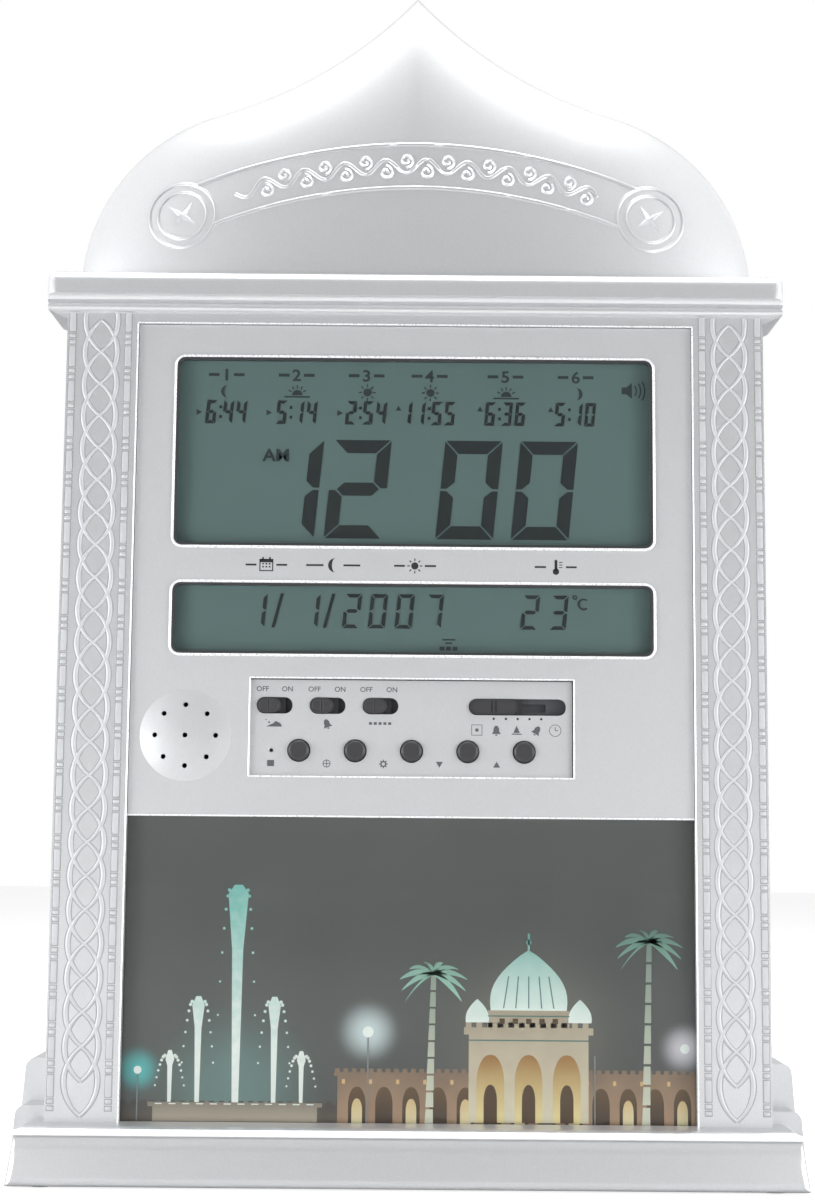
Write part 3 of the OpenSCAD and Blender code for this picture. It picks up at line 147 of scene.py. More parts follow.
@dataclass(frozen=True)
class Finish:
    """One real material and how its surface was made.

    Attributes:
        name: Common name and process.
        colour: sRGB hex colour.
        roughness: Middle roughness.
        metallic: Share of metal in the look.
        ior: Index of refraction.
        mottle_mm: Size of the soft drift in colour.
        mottle: How far the brightness drifts, as a share.
        grain_mm: Spacing of the surface grain.
        grain_mm_deep: Depth of the grain.
        drift: How far the roughness drifts.
        coat: Weight of a clear coat.
    """

    name: str
    colour: str
    roughness: float
    metallic: float = 0.0
    ior: float = 1.5
    mottle_mm: float = 6.0
    mottle: float = 0.02
    grain_mm: float = 0.5
    grain_mm_deep: float = 0.004
    drift: float = 0.04
    coat: float = 0.0

    def material(self) -> bpy.types.Material:
        """Builds the material, or returns the one that is already there."""
        if self.name in bpy.data.materials:
            return bpy.data.materials[self.name]
        made = bpy.data.materials.new(self.name)
        made.use_nodes = True
        tree = made.node_tree
        tree.nodes.clear()
        shader = self.shade(tree, add_node(tree, "ShaderNodeTexCoord").outputs["Object"])
        add_node(tree, "ShaderNodeOutputMaterial", sockets={"Surface": shader})
        return made

    def grain(self, tree: Tree, place: Socket) -> Socket:
        """Adds the fine surface pattern that roughness and bump share.

        Args:
            tree: The material's nodes.
            place: Object coordinates.

        Returns:
            The pattern, from 0 to 1.
        """
        return add_node(tree, "ShaderNodeTexNoise", sockets={
            "Vector": place, "Scale": 1 / (self.grain_mm * MM), "Detail": 2.0}).outputs["Fac"]

    def tint(self, tree: Tree, place: Socket) -> Socket:
        """Adds the colour with its soft drift.

        Args:
            tree: The material's nodes.
            place: Object coordinates.

        Returns:
            The colour.
        """
        drift = add_node(tree, "ShaderNodeTexNoise", sockets={
            "Vector": place, "Scale": 1 / (self.mottle_mm * MM), "Detail": 3.0})
        value = add_node(tree, "ShaderNodeMapRange", sockets={
            "Value": drift.outputs["Fac"], "To Min": 1 - self.mottle, "To Max": 1 + self.mottle})
        return add_node(tree, "ShaderNodeHueSaturation", sockets={
            "Value": value.outputs["Result"], "Color": linear(self.colour)}).outputs["Color"]

    def shade(self, tree: Tree, place: Socket) -> Socket:
        """Joins colour, roughness and bump in one shader.

        Args:
            tree: The material's nodes.
            place: Object coordinates.

        Returns:
            The finished surface.
        """
        grain = self.grain(tree, place)
        rough = add_node(tree, "ShaderNodeMapRange", sockets={
            "Value": grain, "To Min": self.roughness - self.drift,
            "To Max": self.roughness + self.drift})
        bump = add_node(tree, "ShaderNodeBump", sockets={
            "Height": grain, "Distance": self.grain_mm_deep * MM, "Strength": 1.0})
        return add_node(tree, "ShaderNodeBsdfPrincipled", sockets={
            "Base Color": self.tint(tree, place), "Roughness": rough.outputs["Result"],
            "Normal": bump.outputs["Normal"], "Metallic": self.metallic, "IOR": self.ior,
            "Coat Weight": self.coat}).outputs["BSDF"]


@dataclass(frozen=True)
class SilverPlastic(Finish):
    """ABS moulded with silver pigment: fine flakes in it shine a little like metal."""

    # Real flakes are far finer: these are drawn as coarse as they need to show.
    flake_mm: float = 0.30
    flake_drift: float = 0.03

    def tint(self, tree: Tree, place: Socket) -> Socket:
        """Adds the flakes' small differences in brightness to the soft drift."""
        base = super().tint(tree, place)
        flakes = add_node(tree, "ShaderNodeTexVoronoi", sockets={
            "Vector": place, "Scale": 1 / (self.flake_mm * MM)})
        grey = add_node(tree, "ShaderNodeRGBToBW", sockets={"Color": flakes.outputs["Color"]})
        value = add_node(tree, "ShaderNodeMapRange", sockets={
            "Value": grey.outputs["Val"], "To Min": 1 - self.flake_drift,
            "To Max": 1 + self.flake_drift})
        return add_node(tree, "ShaderNodeHueSaturation", sockets={
            "Value": value.outputs["Result"], "Color": base}).outputs["Color"]


@dataclass(frozen=True)
class ClearPlastic(Finish):
    """Polished acrylic sheet, clear right through, with only its gloss to see at a slant."""

    def shade(self, tree: Tree, place: Socket) -> Socket:
        """Mixes the see-through sheet with its gloss, as a real sheet reflects more at a slant."""
        gloss = add_node(tree, "ShaderNodeBsdfPrincipled", sockets={
            "Base Color": linear("FFFFFF"), "Metallic": 1.0, "Roughness": self.roughness})
        clear = add_node(tree, "ShaderNodeBsdfTransparent", sockets={
            "Color": linear(self.colour)})
        slant = add_node(tree, "ShaderNodeFresnel", sockets={"IOR": self.ior})
        return add_node(tree, "ShaderNodeMixShader", sockets={
            0: slant.outputs["Fac"], 1: clear.outputs["BSDF"],
            2: gloss.outputs["BSDF"]}).outputs["Shader"]


@dataclass(frozen=True)
class BrushedMetal(Finish):
    """Rolled or drawn metal, whose fine lines run along X.

    Attributes:
        squeeze: How far the grain is squeezed along X to draw it out in lines.
    """

    squeeze: float = 0.06

    def grain(self, tree: Tree, place: Socket) -> Socket:
        """Adds the fine lines of the rolled sheet."""
        lines = add_node(tree, "ShaderNodeMapping", sockets={
            "Vector": place, "Scale": (self.squeeze, 1.0, 1.0)})
        return add_node(tree, "ShaderNodeTexNoise", sockets={
            "Vector": lines.outputs["Vector"], "Scale": 1 / (self.grain_mm * MM),
            "Detail": 3.0}).outputs["Fac"]


@dataclass(frozen=True)
class StripedRubber(Finish):
    """Silicone strip in which thin conducting layers lie between clear ones."""

    # Real strips have a tenth of this pitch: it is drawn as coarse as it needs to show.
    pitch_mm: float = 0.5

    def tint(self, tree: Tree, place: Socket) -> Socket:
        """Adds the dark and pale layers across X; the wave texture repeats every pi / 10 units."""
        wave = add_node(tree, "ShaderNodeTexWave", {"bands_direction": "X"}, {
            "Vector": place, "Scale": 0.314 / (self.pitch_mm * MM)})
        ramp = add_node(tree, "ShaderNodeValToRGB", sockets={"Fac": wave.outputs["Fac"]})
        ramp.color_ramp.elements[0].color = linear("3A3034")
        ramp.color_ramp.elements[1].color = linear(self.colour)
        return ramp.outputs["Color"]


def choose(*pieces: Piece) -> None:
    """Selects some objects and nothing else, the first one active.

    Args:
        pieces: Objects to select; none clears the selection.
    """
    if bpy.context.object and bpy.context.object.mode != "OBJECT":
        bpy.ops.object.mode_set(mode="OBJECT")
    bpy.ops.object.select_all(action="DESELECT")
    for piece in pieces:
        piece.select_set(True)
    if pieces:
        bpy.context.view_layer.objects.active = pieces[0]


@contextmanager
def editing(piece: Piece) -> Iterator[None]:
    """Opens a mesh in edit mode with all of it selected, and closes it again.

    Args:
        piece: The mesh object.

    Yields:
        Nothing; the mesh is open for edit operators.
    """
    choose(piece)
    bpy.ops.object.mode_set(mode="EDIT")
    bpy.ops.mesh.select_all(action="SELECT")
    yield
    bpy.ops.object.mode_set(mode="OBJECT")


def apply_modifier(piece: Piece, kind: str, **settings: object) -> None:
    """Adds a modifier and applies it at once.

    Args:
        piece: The object it changes.
        kind: Blender's name for the kind of modifier.
        settings: The modifier's values.
    """
    choose(piece)
    modifier = piece.modifiers.new(kind.title(), kind)
    for key, value in settings.items():
        setattr(modifier, key, value)
    bpy.ops.object.modifier_apply(modifier=modifier.name)


def join(pieces: list[Piece]) -> Piece:
    """Joins some objects into the first of them and returns it."""
    choose(*pieces)
    if len(pieces) > 1:
        bpy.ops.object.join()
    return pieces[0]


def turn_outwards(piece: Piece) -> None:
    """Turns all the faces of a closed mesh outwards."""
    with editing(piece):
        bpy.ops.mesh.normals_make_consistent(inside=False)


def cut_above(piece: Piece, height: float) -> None:
    """Cuts a mesh off at a height in mm and closes the cut."""
    with editing(piece):
        bpy.ops.mesh.bisect(plane_co=(0, 0, height * MM), plane_no=(0, 0, 1),
                            clear_outer=True, use_fill=True)


def repeated(first: Piece, moves: list[Matrix]) -> Piece:
    """Copies a piece to several places, each copy with its own mesh, and joins the copies.

    Args:
        first: The piece, which is removed at the end.
        moves: The way to each place, as a matrix; a mirror's copy keeps its faces outwards.

    Returns:
        All the copies as one object.
    """
    copies = []
    for move in moves:
        copy = first.copy()
        copy.data = first.data.copy()
        copy.data.transform(move)
        if move.determinant() < 0:
            copy.data.flip_normals()
        bpy.context.scene.collection.objects.link(copy)
        copies.append(copy)
    bpy.data.objects.remove(first)
    return join(copies)


def block(low: tuple, high: tuple, edge: float, steps: int = 2) -> Piece:
    """Makes a block with rounded edges.

    Args:
        low: Lowest corner.
        high: Highest corner.
        edge: Radius of the edges.
        steps: Segments in each edge.

    Returns:
        The block.
    """
    choose()
    bottom, top = Vector(low) * MM, Vector(high) * MM
    bpy.ops.mesh.primitive_cube_add(size=1, location=(bottom + top) / 2, scale=top - bottom)
    bpy.ops.object.transform_apply(location=True, rotation=True, scale=True)
    made = bpy.context.object
    if edge:
        apply_modifier(made, "BEVEL", width=edge * MM, segments=steps)
    return made


def plates(outlines: list[Outline], front: float, back: float) -> Piece:
    """Makes flat plates that face the front, all in one mesh.

    Args:
        outlines: Corners of each plate in X and Z.
        front: Y of the faces that look to the front.
        back: Y of their backs.

    Returns:
        One object that holds every plate.
    """
    choose()
    made = None
    for outline in outlines:
        bpy.ops.mesh.primitive_circle_add(vertices=len(outline), fill_type="NGON")
        if made is None:
            made = bpy.context.object
            bpy.ops.object.transform_apply(location=True, rotation=True, scale=True)
            bpy.ops.object.mode_set(mode="EDIT")
    mesh = bmesh.from_edit_mesh(made.data)
    corners = [corner for outline in outlines for corner in outline]
    for vertex, (x, z) in zip(mesh.verts, corners):
        vertex.co = Vector((x, front, z)) * MM
    bmesh.update_edit_mesh(made.data)
    bpy.ops.mesh.select_all(action="SELECT")
    bpy.ops.mesh.extrude_region_move(
        TRANSFORM_OT_translate={"value": (0, (back - front) * MM, 0)})
    bpy.ops.mesh.select_all(action="SELECT")
    bpy.ops.mesh.normals_make_consistent(inside=False)
    bpy.ops.object.mode_set(mode="OBJECT")
    return made


def strokes(lines: list[list[tuple]], radius: float, steps: int = 1,
            closed: bool = False) -> Piece:
    """Makes round strokes along lines.

    Args:
        lines: Points of each line in X, Y and Z.
        radius: Radius of the strokes.
        steps: How finely the strokes are rounded.
        closed: Whether each line runs back to its start.

    Returns:
        One object that holds every stroke.
    """
    choose()
    bpy.ops.curve.primitive_nurbs_path_add(location=(0, 0, 0))
    made = bpy.context.object
    made.data.splines.clear()
    for line in lines:
        path = made.data.splines.new("POLY")
        path.points.add(len(line) - 1)
        path.use_cyclic_u = closed
        for point, place in zip(path.points, line):
            point.co = (*(Vector(place) * MM), 1.0)
    made.data.bevel_depth = radius * MM
    made.data.bevel_resolution = steps
    made.data.use_fill_caps = not closed
    bpy.ops.object.convert(target="MESH")
    return bpy.context.object


def lettering(text: str, height: float, middle: Point, front: float, weight: float = 0.0,
              stretch: float = 1.0, deep: float = 0.01) -> Piece:
    """Makes flat letters or numerals that face the front.

    Args:
        text: What they say.
        height: Height of a capital.
        middle: X and Z of their middle.
        front: Y of their front.
        weight: How much bolder than the plain letter.
        stretch: Width against the plain letter.
        deep: Half the thickness of the letters.

    Returns:
        The letters as one mesh.
    """
    choose()
    bpy.ops.object.text_add(rotation=(math.pi / 2, 0, 0))
    made = bpy.context.object
    made.data.body = text
    made.data.size = height / CAPITAL * MM
    made.data.align_x = "CENTER"
    made.data.offset = weight * MM
    made.data.extrude = deep * MM
    made.data.resolution_u = 3
    bpy.ops.object.convert(target="MESH")
    made = bpy.context.object
    made.scale = (stretch, 1, 1)
    made.location = Vector((middle[0], front + deep, middle[1] - height / 2)) * MM
    bpy.ops.object.transform_apply(location=True, rotation=True, scale=True)
    return made


def ring(centre: Point, radius: float, count: int = 24, start: float = 0.0,
         stop: float = FULL_TURN) -> Outline:
    """Lists points round a circle or an arc.

    Args:
        centre: Its centre.
        radius: Its radius.
        count: Number of steps.
        start: Angle of the first point, in degrees.
        stop: Angle of the last point; a full circle leaves out the repeated one.

    Returns:
        The points in order.
    """
    last = count if stop - start >= FULL_TURN else count + 1
    turns = [math.radians(start + (stop - start) * i / count) for i in range(last)]
    return [(centre[0] + radius * math.cos(turn), centre[1] + radius * math.sin(turn))
            for turn in turns]


def rectangle(left: float, bottom: float, right: float, top: float) -> Outline:
    """Lists the four corners of an upright rectangle."""
    return [(left, bottom), (right, bottom), (right, top), (left, top)]


def band(centre: Point, inner: float, outer: float, start: float = 0.0,
         stop: float = FULL_TURN, count: int = 24) -> list[Outline]:
    """Cuts a ring or an arc of it into four-cornered plates.

    Args:
        centre: Centre of the ring.
        inner: Inner radius.
        outer: Outer radius.
        start: First angle, in degrees.
        stop: Last angle, in degrees.
        count: Number of plates.

    Returns:
        The plates' outlines.
    """
    step = (stop - start) / count
    made = []
    for i in range(count):
        low, high = start + step * i, start + step * (i + 1)
        made.append(ring(centre, inner, 1, low, high) + ring(centre, outer, 1, low, high)[::-1])
    return made


def rays(centre: Point, angles: tuple, near: float, far: float) -> list[Outline]:
    """Draws short rays round a sun.

    Args:
        centre: The sun's middle.
        angles: Angle of each ray, in degrees.
        near: Radius where a ray starts.
        far: Radius where it ends.

    Returns:
        One four-cornered outline for each ray.
    """
    half = 0.13
    made = []
    for angle in angles:
        c, s = math.cos(math.radians(angle)), math.sin(math.radians(angle))
        made.append([(centre[0] + along * c - aside * s, centre[1] + along * s + aside * c)
                     for along, aside in ((near, half), (near, -half), (far, -half), (far, half))])
    return made


def crescent(centre: Point, radius: float, side: int) -> list[Outline]:
    """Draws a moon in four-cornered plates between its two arcs.

    Args:
        centre: Its middle.
        radius: Its radius.
        side: 1 where it opens to the right, -1 to the left.

    Returns:
        The plates' outlines.
    """
    count, waist, inset = 10, 0.45, 0.98
    made = []
    for i in range(count):
        turns = [math.radians(90 + 180 / count * step) for step in (i, i + 1)]
        outer = [(centre[0] + side * radius * math.cos(turn), centre[1] + radius * math.sin(turn))
                 for turn in turns]
        inner = [(centre[0] + side * radius * waist * math.cos(turn),
                  centre[1] + radius * math.sin(turn) * inset) for turn in reversed(turns)]
        made.append(outer + inner)
    return made


def present(piece: Piece, name: str, finish: Finish, body: str = FIXED_BODY,
            smooth: float = 35.0, weighted: bool = False) -> Piece:
    """Gives a finished mesh its name, material, shading and body.

    Args:
        piece: The mesh, in place.
        name: Its name.
        finish: What it is made of.
        body: The body it moves with.
        smooth: Edges flatter than this many degrees are shaded smooth; 0 shades all of them sharp.
        weighted: Whether the large faces keep their shading flat up to their eased edges.

    Returns:
        The same object.
    """
    choose(piece)
    bpy.ops.object.transform_apply(location=True, rotation=True, scale=True)
    piece.name = piece.data.name = name
    piece.data.materials.clear()
    piece.data.materials.append(finish.material())
    if smooth:
        bpy.ops.object.shade_smooth_by_angle(angle=math.radians(smooth))
        if weighted:
            apply_modifier(piece, "WEIGHTED_NORMAL", keep_sharp=True, weight=100)
    else:
        bpy.ops.object.shade_flat()
    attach(piece, body)
    LOG.info("%s: %d faces, rides on %s", name, len(piece.data.polygons), body)
    return piece


def copy_of_node(node: Piece) -> Piece:
    """Copies a CAD node and merges its loose triangles into clean faces.

    Args:
        node: The CAD node's object.

    Returns:
        The copy, free of the node's body and material.
    """
    made = bpy.data.objects.new("copy", node.data.copy())
    bpy.context.scene.collection.objects.link(made)
    choose(made)
    if made.data.has_custom_normals:
        bpy.ops.mesh.customdata_custom_splitnormals_clear()
    with editing(made):
        bpy.ops.mesh.remove_doubles(threshold=0.002 * MM)
        bpy.ops.mesh.dissolve_limited(angle_limit=math.radians(0.4))
    return made


def slab_for(node: str, name: str, finish: Finish, edge: float,
             front: float | None = None, thinner: float = 0.0, steps: int = 2) -> None:
    """Replaces a flat CAD node by a slab with eased edges.

    Args:
        node: The CAD node, whose box the slab fills.
        name: The slab's name.
        finish: What it is made of.
        edge: Radius of its edges.
        front: Y of its front where it isn't the node's own.
        thinner: How far its back stays in front of the node's.
        steps: Segments in each edge.
    """
    low, high = (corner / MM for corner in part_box(node))
    made = block((low.x, low.y if front is None else front, low.z),
                 (high.x, high.y - thinner, high.z), edge, steps)
    present(made, name, finish, weighted=True)
    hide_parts(node)


# Silver ABS from a satin mould: pale, with a soft metal sheen and no clear mirror image.
SILVER = SilverPlastic("silver_abs_satin_moulded", "D5D6D8", 0.32, metallic=0.6, mottle=0.012)
# The same plastic from a matte mould: a shade darker, and it spreads every glint.
PANEL = SilverPlastic("silver_abs_matte_moulded", "C8C9CB", 0.42, metallic=0.45, mottle=0.012)
# Its thin rims, a little smoother: their near-white colour is a painted highlight, as if they
# threw the lamps straight back.
RIM_PAINTED_HIGHLIGHT = SilverPlastic("silver_abs_rim_painted_highlight", "F6F7F9", 0.28, metallic=0.3,
                         mottle=0.0)
# Painted shade at the foot of the relief: a thin darker line round each strand and bead, where the
# crease would lie in shadow.
PAINTED_CREASE_SHADE = SilverPlastic("silver_abs_painted_crease_shade", "A0A1A4", 0.6, metallic=0.2, mottle=0.0)
# The relief, in the column's own silver ABS and matte from its engraved mould, with painted shade:
# its colour is darker than the column's, to tone down the lamps grazing its slopes.
RELIEF_PAINTED_DARKER = SilverPlastic("silver_abs_relief_matte_painted_darker", "C6C7CA", 0.5, metallic=0.3, mottle=0.0)
# Dark grey ABS of knobs and buttons: satin, almost black in the shade.
DARK = Finish("dark_grey_abs_moulded", "343436", 0.42, mottle=0.05, grain_mm=0.35)
# Natural nylon: milky white with a waxy gloss.
NYLON = Finish("natural_nylon_moulded", "E6E5DF", 0.45, mottle=0.02)
# Blackened steel sheet: dark grey, with the lines of the roller in it.
BLACKENED = BrushedMetal("steel_blackened", "606165", 0.5, metallic=0.6, grain_mm=0.25)
# Black nylon of the push switches: dull and even.
BLACK_NYLON = Finish("black_nylon_moulded", "1C1C1D", 0.5, mottle=0.08)
# Acrylic under a thin anti-glare coat: clear, and it mirrors far less than bare acrylic would,
# which is why its IOR lies under the plain sheet's 1.49.
ACRYLIC = ClearPlastic("clear_acrylic_polished", "FDFFFE", 0.02, ior=1.18)
# Layered contact rubber: narrow dark and pink stripes.
CONTACT = StripedRubber("contact_silicone_layered", "C98792", 0.55)
# Glass-fibre board under solder mask: a glossy green with the weave faintly in it.
BOARD = Finish("glass_fibre_board_green_mask", "1B5A34", 0.35, mottle=0.08, grain_mm=0.9,
               grain_mm_deep=0.01)
# Epoxy cast over a chip: a shiny black drop.
RESIN = Finish("black_epoxy_cast", "101011", 0.22, mottle=0.1)
# Laminated polyester ribbon: pale, smooth and a little shiny.
CABLE = Finish("polyester_ribbon_laminated", "D8D7CC", 0.3)
# Drawn aluminium can: bright, with fine lines.
CAN = BrushedMetal("aluminium_can_drawn", "C4C6C9", 0.28, metallic=1.0, grain_mm=0.2)
# Shrunk vinyl sleeve: glossy dark blue.
SLEEVE = Finish("vinyl_sleeve_shrunk", "1E2A4D", 0.3, coat=0.3)
# Dipped ceramic bead: shiny brown, uneven in tone.
CERAMIC = Finish("brown_ceramic_dipped", "7B4A28", 0.25, mottle=0.1, coat=0.4)
# Zinc-plated steel: a cool, even grey metal.
ZINC = BrushedMetal("steel_zinc_plated", "B7BABD", 0.34, metallic=1.0, grain_mm=0.25)
# Nickel-plated spring steel: warmer and brighter than the zinc.
SPRING = BrushedMetal("spring_steel_nickel_plated", "C2C1BD", 0.25, metallic=1.0, grain_mm=0.2)
# Pressed pulp paper: dull black with a felted grain.
PAPER = Finish("black_pulp_paper_pressed", "1D1D1E", 0.8, mottle=0.12, grain_mm=0.4,
               grain_mm_deep=0.03)
# Sintered ferrite: dark grey with a fine rough grain.
FERRITE = Finish("ferrite_sintered", "29292B", 0.55, mottle=0.1, grain_mm=0.3,
                 grain_mm_deep=0.02)
# Plain printed sleeve of a battery: glossy blue.
JACKET = Finish("battery_sleeve_printed", "2B4C86", 0.28, coat=0.4)
# Extruded vinyl insulation: smooth red.
LEAD = Finish("red_vinyl_extruded", "A81D1D", 0.35)
# Moulded rubber feet: matte black.
RUBBER = Finish("black_rubber_moulded", "161617", 0.7, mottle=0.08, grain_mm=0.5,
                grain_mm_deep=0.02)
# Pad-printed inks: thin, even and without gloss.
INK = Finish("black_pad_print_ink", "1B1B1D", 0.5, mottle=0.1)
GREY_INK = Finish("grey_pad_print_ink", "55565A", 0.5, mottle=0.1)
# Reflective liquid-crystal cell: a flat grey-green that drifts a little over its width.
CELL = Finish("liquid_crystal_cell_reflective", "667A7A", 0.35, mottle=0.03, mottle_mm=30.0)
# Segments that are on: near black where they are driven hard, a little softer in the small signs.
SEGMENT = Finish("liquid_crystal_segment_on", "24282B", 0.4, mottle=0.05)
SEGMENT_SOFT = Finish("liquid_crystal_segment_soft", "33393E", 0.4, mottle=0.05)

# The finish of each CAD node that stays as it is.
NODE_FINISHES: dict[str, Finish] = {
    "picture_backing": PANEL, "main_lcd_holder": NYLON, "date_lcd_holder": NYLON,
    "zebra_strips": CONTACT, "display_board": BOARD, "control_board": BOARD,
    "display_chips": RESIN, "control_chip": RESIN, "ribbon_cable": CABLE, "crystal": CAN,
    "capacitors": SLEEVE, "thermistor": CERAMIC, "tact_switches": BLACK_NYLON,
    "slide_switches": BLACKENED, "mode_switch": BLACKENED, "mode_slider": NYLON,
    "reset_plunger": NYLON, "speaker_frame": ZINC, "speaker_cone": PAPER,
    "speaker_magnet": FERRITE, "batteries": JACKET, "battery_springs": SPRING,
    "battery_contacts": SPRING, "battery_leads": LEAD, "speaker_leads": LEAD,
    "case_screws": ZINC, "board_screws": ZINC, "crest_screws": ZINC, "rubber_feet": RUBBER,
}
NODE_FINISHES |= {f"button_plunger_{i}": NYLON for i in range(1, 6)}
NODE_FINISHES |= {f"switch_slider_{i}": NYLON for i in range(1, 4)}


@dataclass
class Casing:
    """The moulded shells and keys, each with its edges eased as a mould leaves them.

    Attributes:
        nodes: The CAD nodes.
        shell_edge: Radius of the shells' edges; the other edges are named in the same way.
        panel_smooth: Angle up to which the panel's faces are shaded smooth, in degrees.
        bar_corner: Radius of the base bar's front corners.
        bar_sum: X and Y of such a corner's slanting face added up.
        bar_front: Y behind which no corner edge is taken.
        bar_high: Z of the bar's shoulder.
        bar_upright: Least height of a straight corner edge.
        sharp: Angle from which an edge is eased, in degrees.
    """

    nodes: dict[str, Piece]
    shell_edge: float = 0.45
    panel_edge: float = 0.14
    panel_smooth: float = 8.0
    door_edge: float = 0.4
    key_edge: float = 0.16
    bar_corner: float = 2.2
    bar_sum: float = 58.3
    bar_front: float = -24.0
    bar_high: float = 13.4
    bar_upright: float = 5.0
    sharp: float = 40.0
    steps: int = 3
    crest: Piece | None = None

    def eased(self, node: str, finish: Finish, edge: float,
              smooth: float = 35.0) -> Piece:
        """Replaces a CAD node by a copy with rounded edges.

        Args:
            node: The CAD node.
            finish: What it is made of.
            edge: Radius of the edges, in mm; 0 leaves them sharp.
            smooth: Edges flatter than this many degrees are shaded smooth.

        Returns:
            The copy.
        """
        made = copy_of_node(self.nodes[node])
        if node == "front_case":
            self.round_bar(made)
        if edge:
            apply_modifier(made, "BEVEL", width=edge * MM, segments=self.steps,
                           limit_method="ANGLE", angle_limit=math.radians(self.sharp),
                           harden_normals=False)
        present(made, f"{node}_moulded", finish, self.nodes[node]["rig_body"], smooth,
                weighted=bool(edge))
        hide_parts(node)
        return made

    def round_bar(self, shell: Piece) -> None:
        """Rounds the two upright corners at the front of the base bar.

        Args:
            shell: The front shell's copy.
        """
        with editing(shell):
            bpy.ops.mesh.select_all(action="DESELECT")
        mesh = shell.data
        places = [vertex.co / MM for vertex in mesh.vertices]
        corner = [abs(abs(place.x) + place.y - self.bar_sum) < 0.03 and place.y < self.bar_front
                  and place.z <= self.bar_high + 0.01 for place in places]
        for edge in mesh.edges:
            first, last = edge.vertices
            upright = abs(places[first].z - places[last].z) > self.bar_upright
            edge.select = corner[first] and corner[last] and upright
        choose(shell)
        bpy.ops.object.mode_set(mode="EDIT")
        bpy.ops.mesh.select_mode(type="EDGE")
        bpy.ops.mesh.bevel(offset=self.bar_corner * MM, segments=6, affect="EDGES")
        bpy.ops.mesh.select_mode(type="VERT")
        bpy.ops.object.mode_set(mode="OBJECT")

    def build(self) -> None:
        """Builds every shell and key."""
        self.eased("front_case", SILVER, self.shell_edge)
        self.eased("rear_case", SILVER, self.shell_edge)
        self.eased("battery_door", SILVER, self.door_edge)
        self.crest = self.eased("crest", SILVER, 0.0)
        self.eased("fascia", PANEL, self.panel_edge, self.panel_smooth)
        keys = [f"button_cap_{i}" for i in range(1, 6)] + [f"switch_knob_{i}" for i in range(1, 4)]
        for node in [*keys, "mode_knob"]:
            self.eased(node, DARK, self.key_edge)


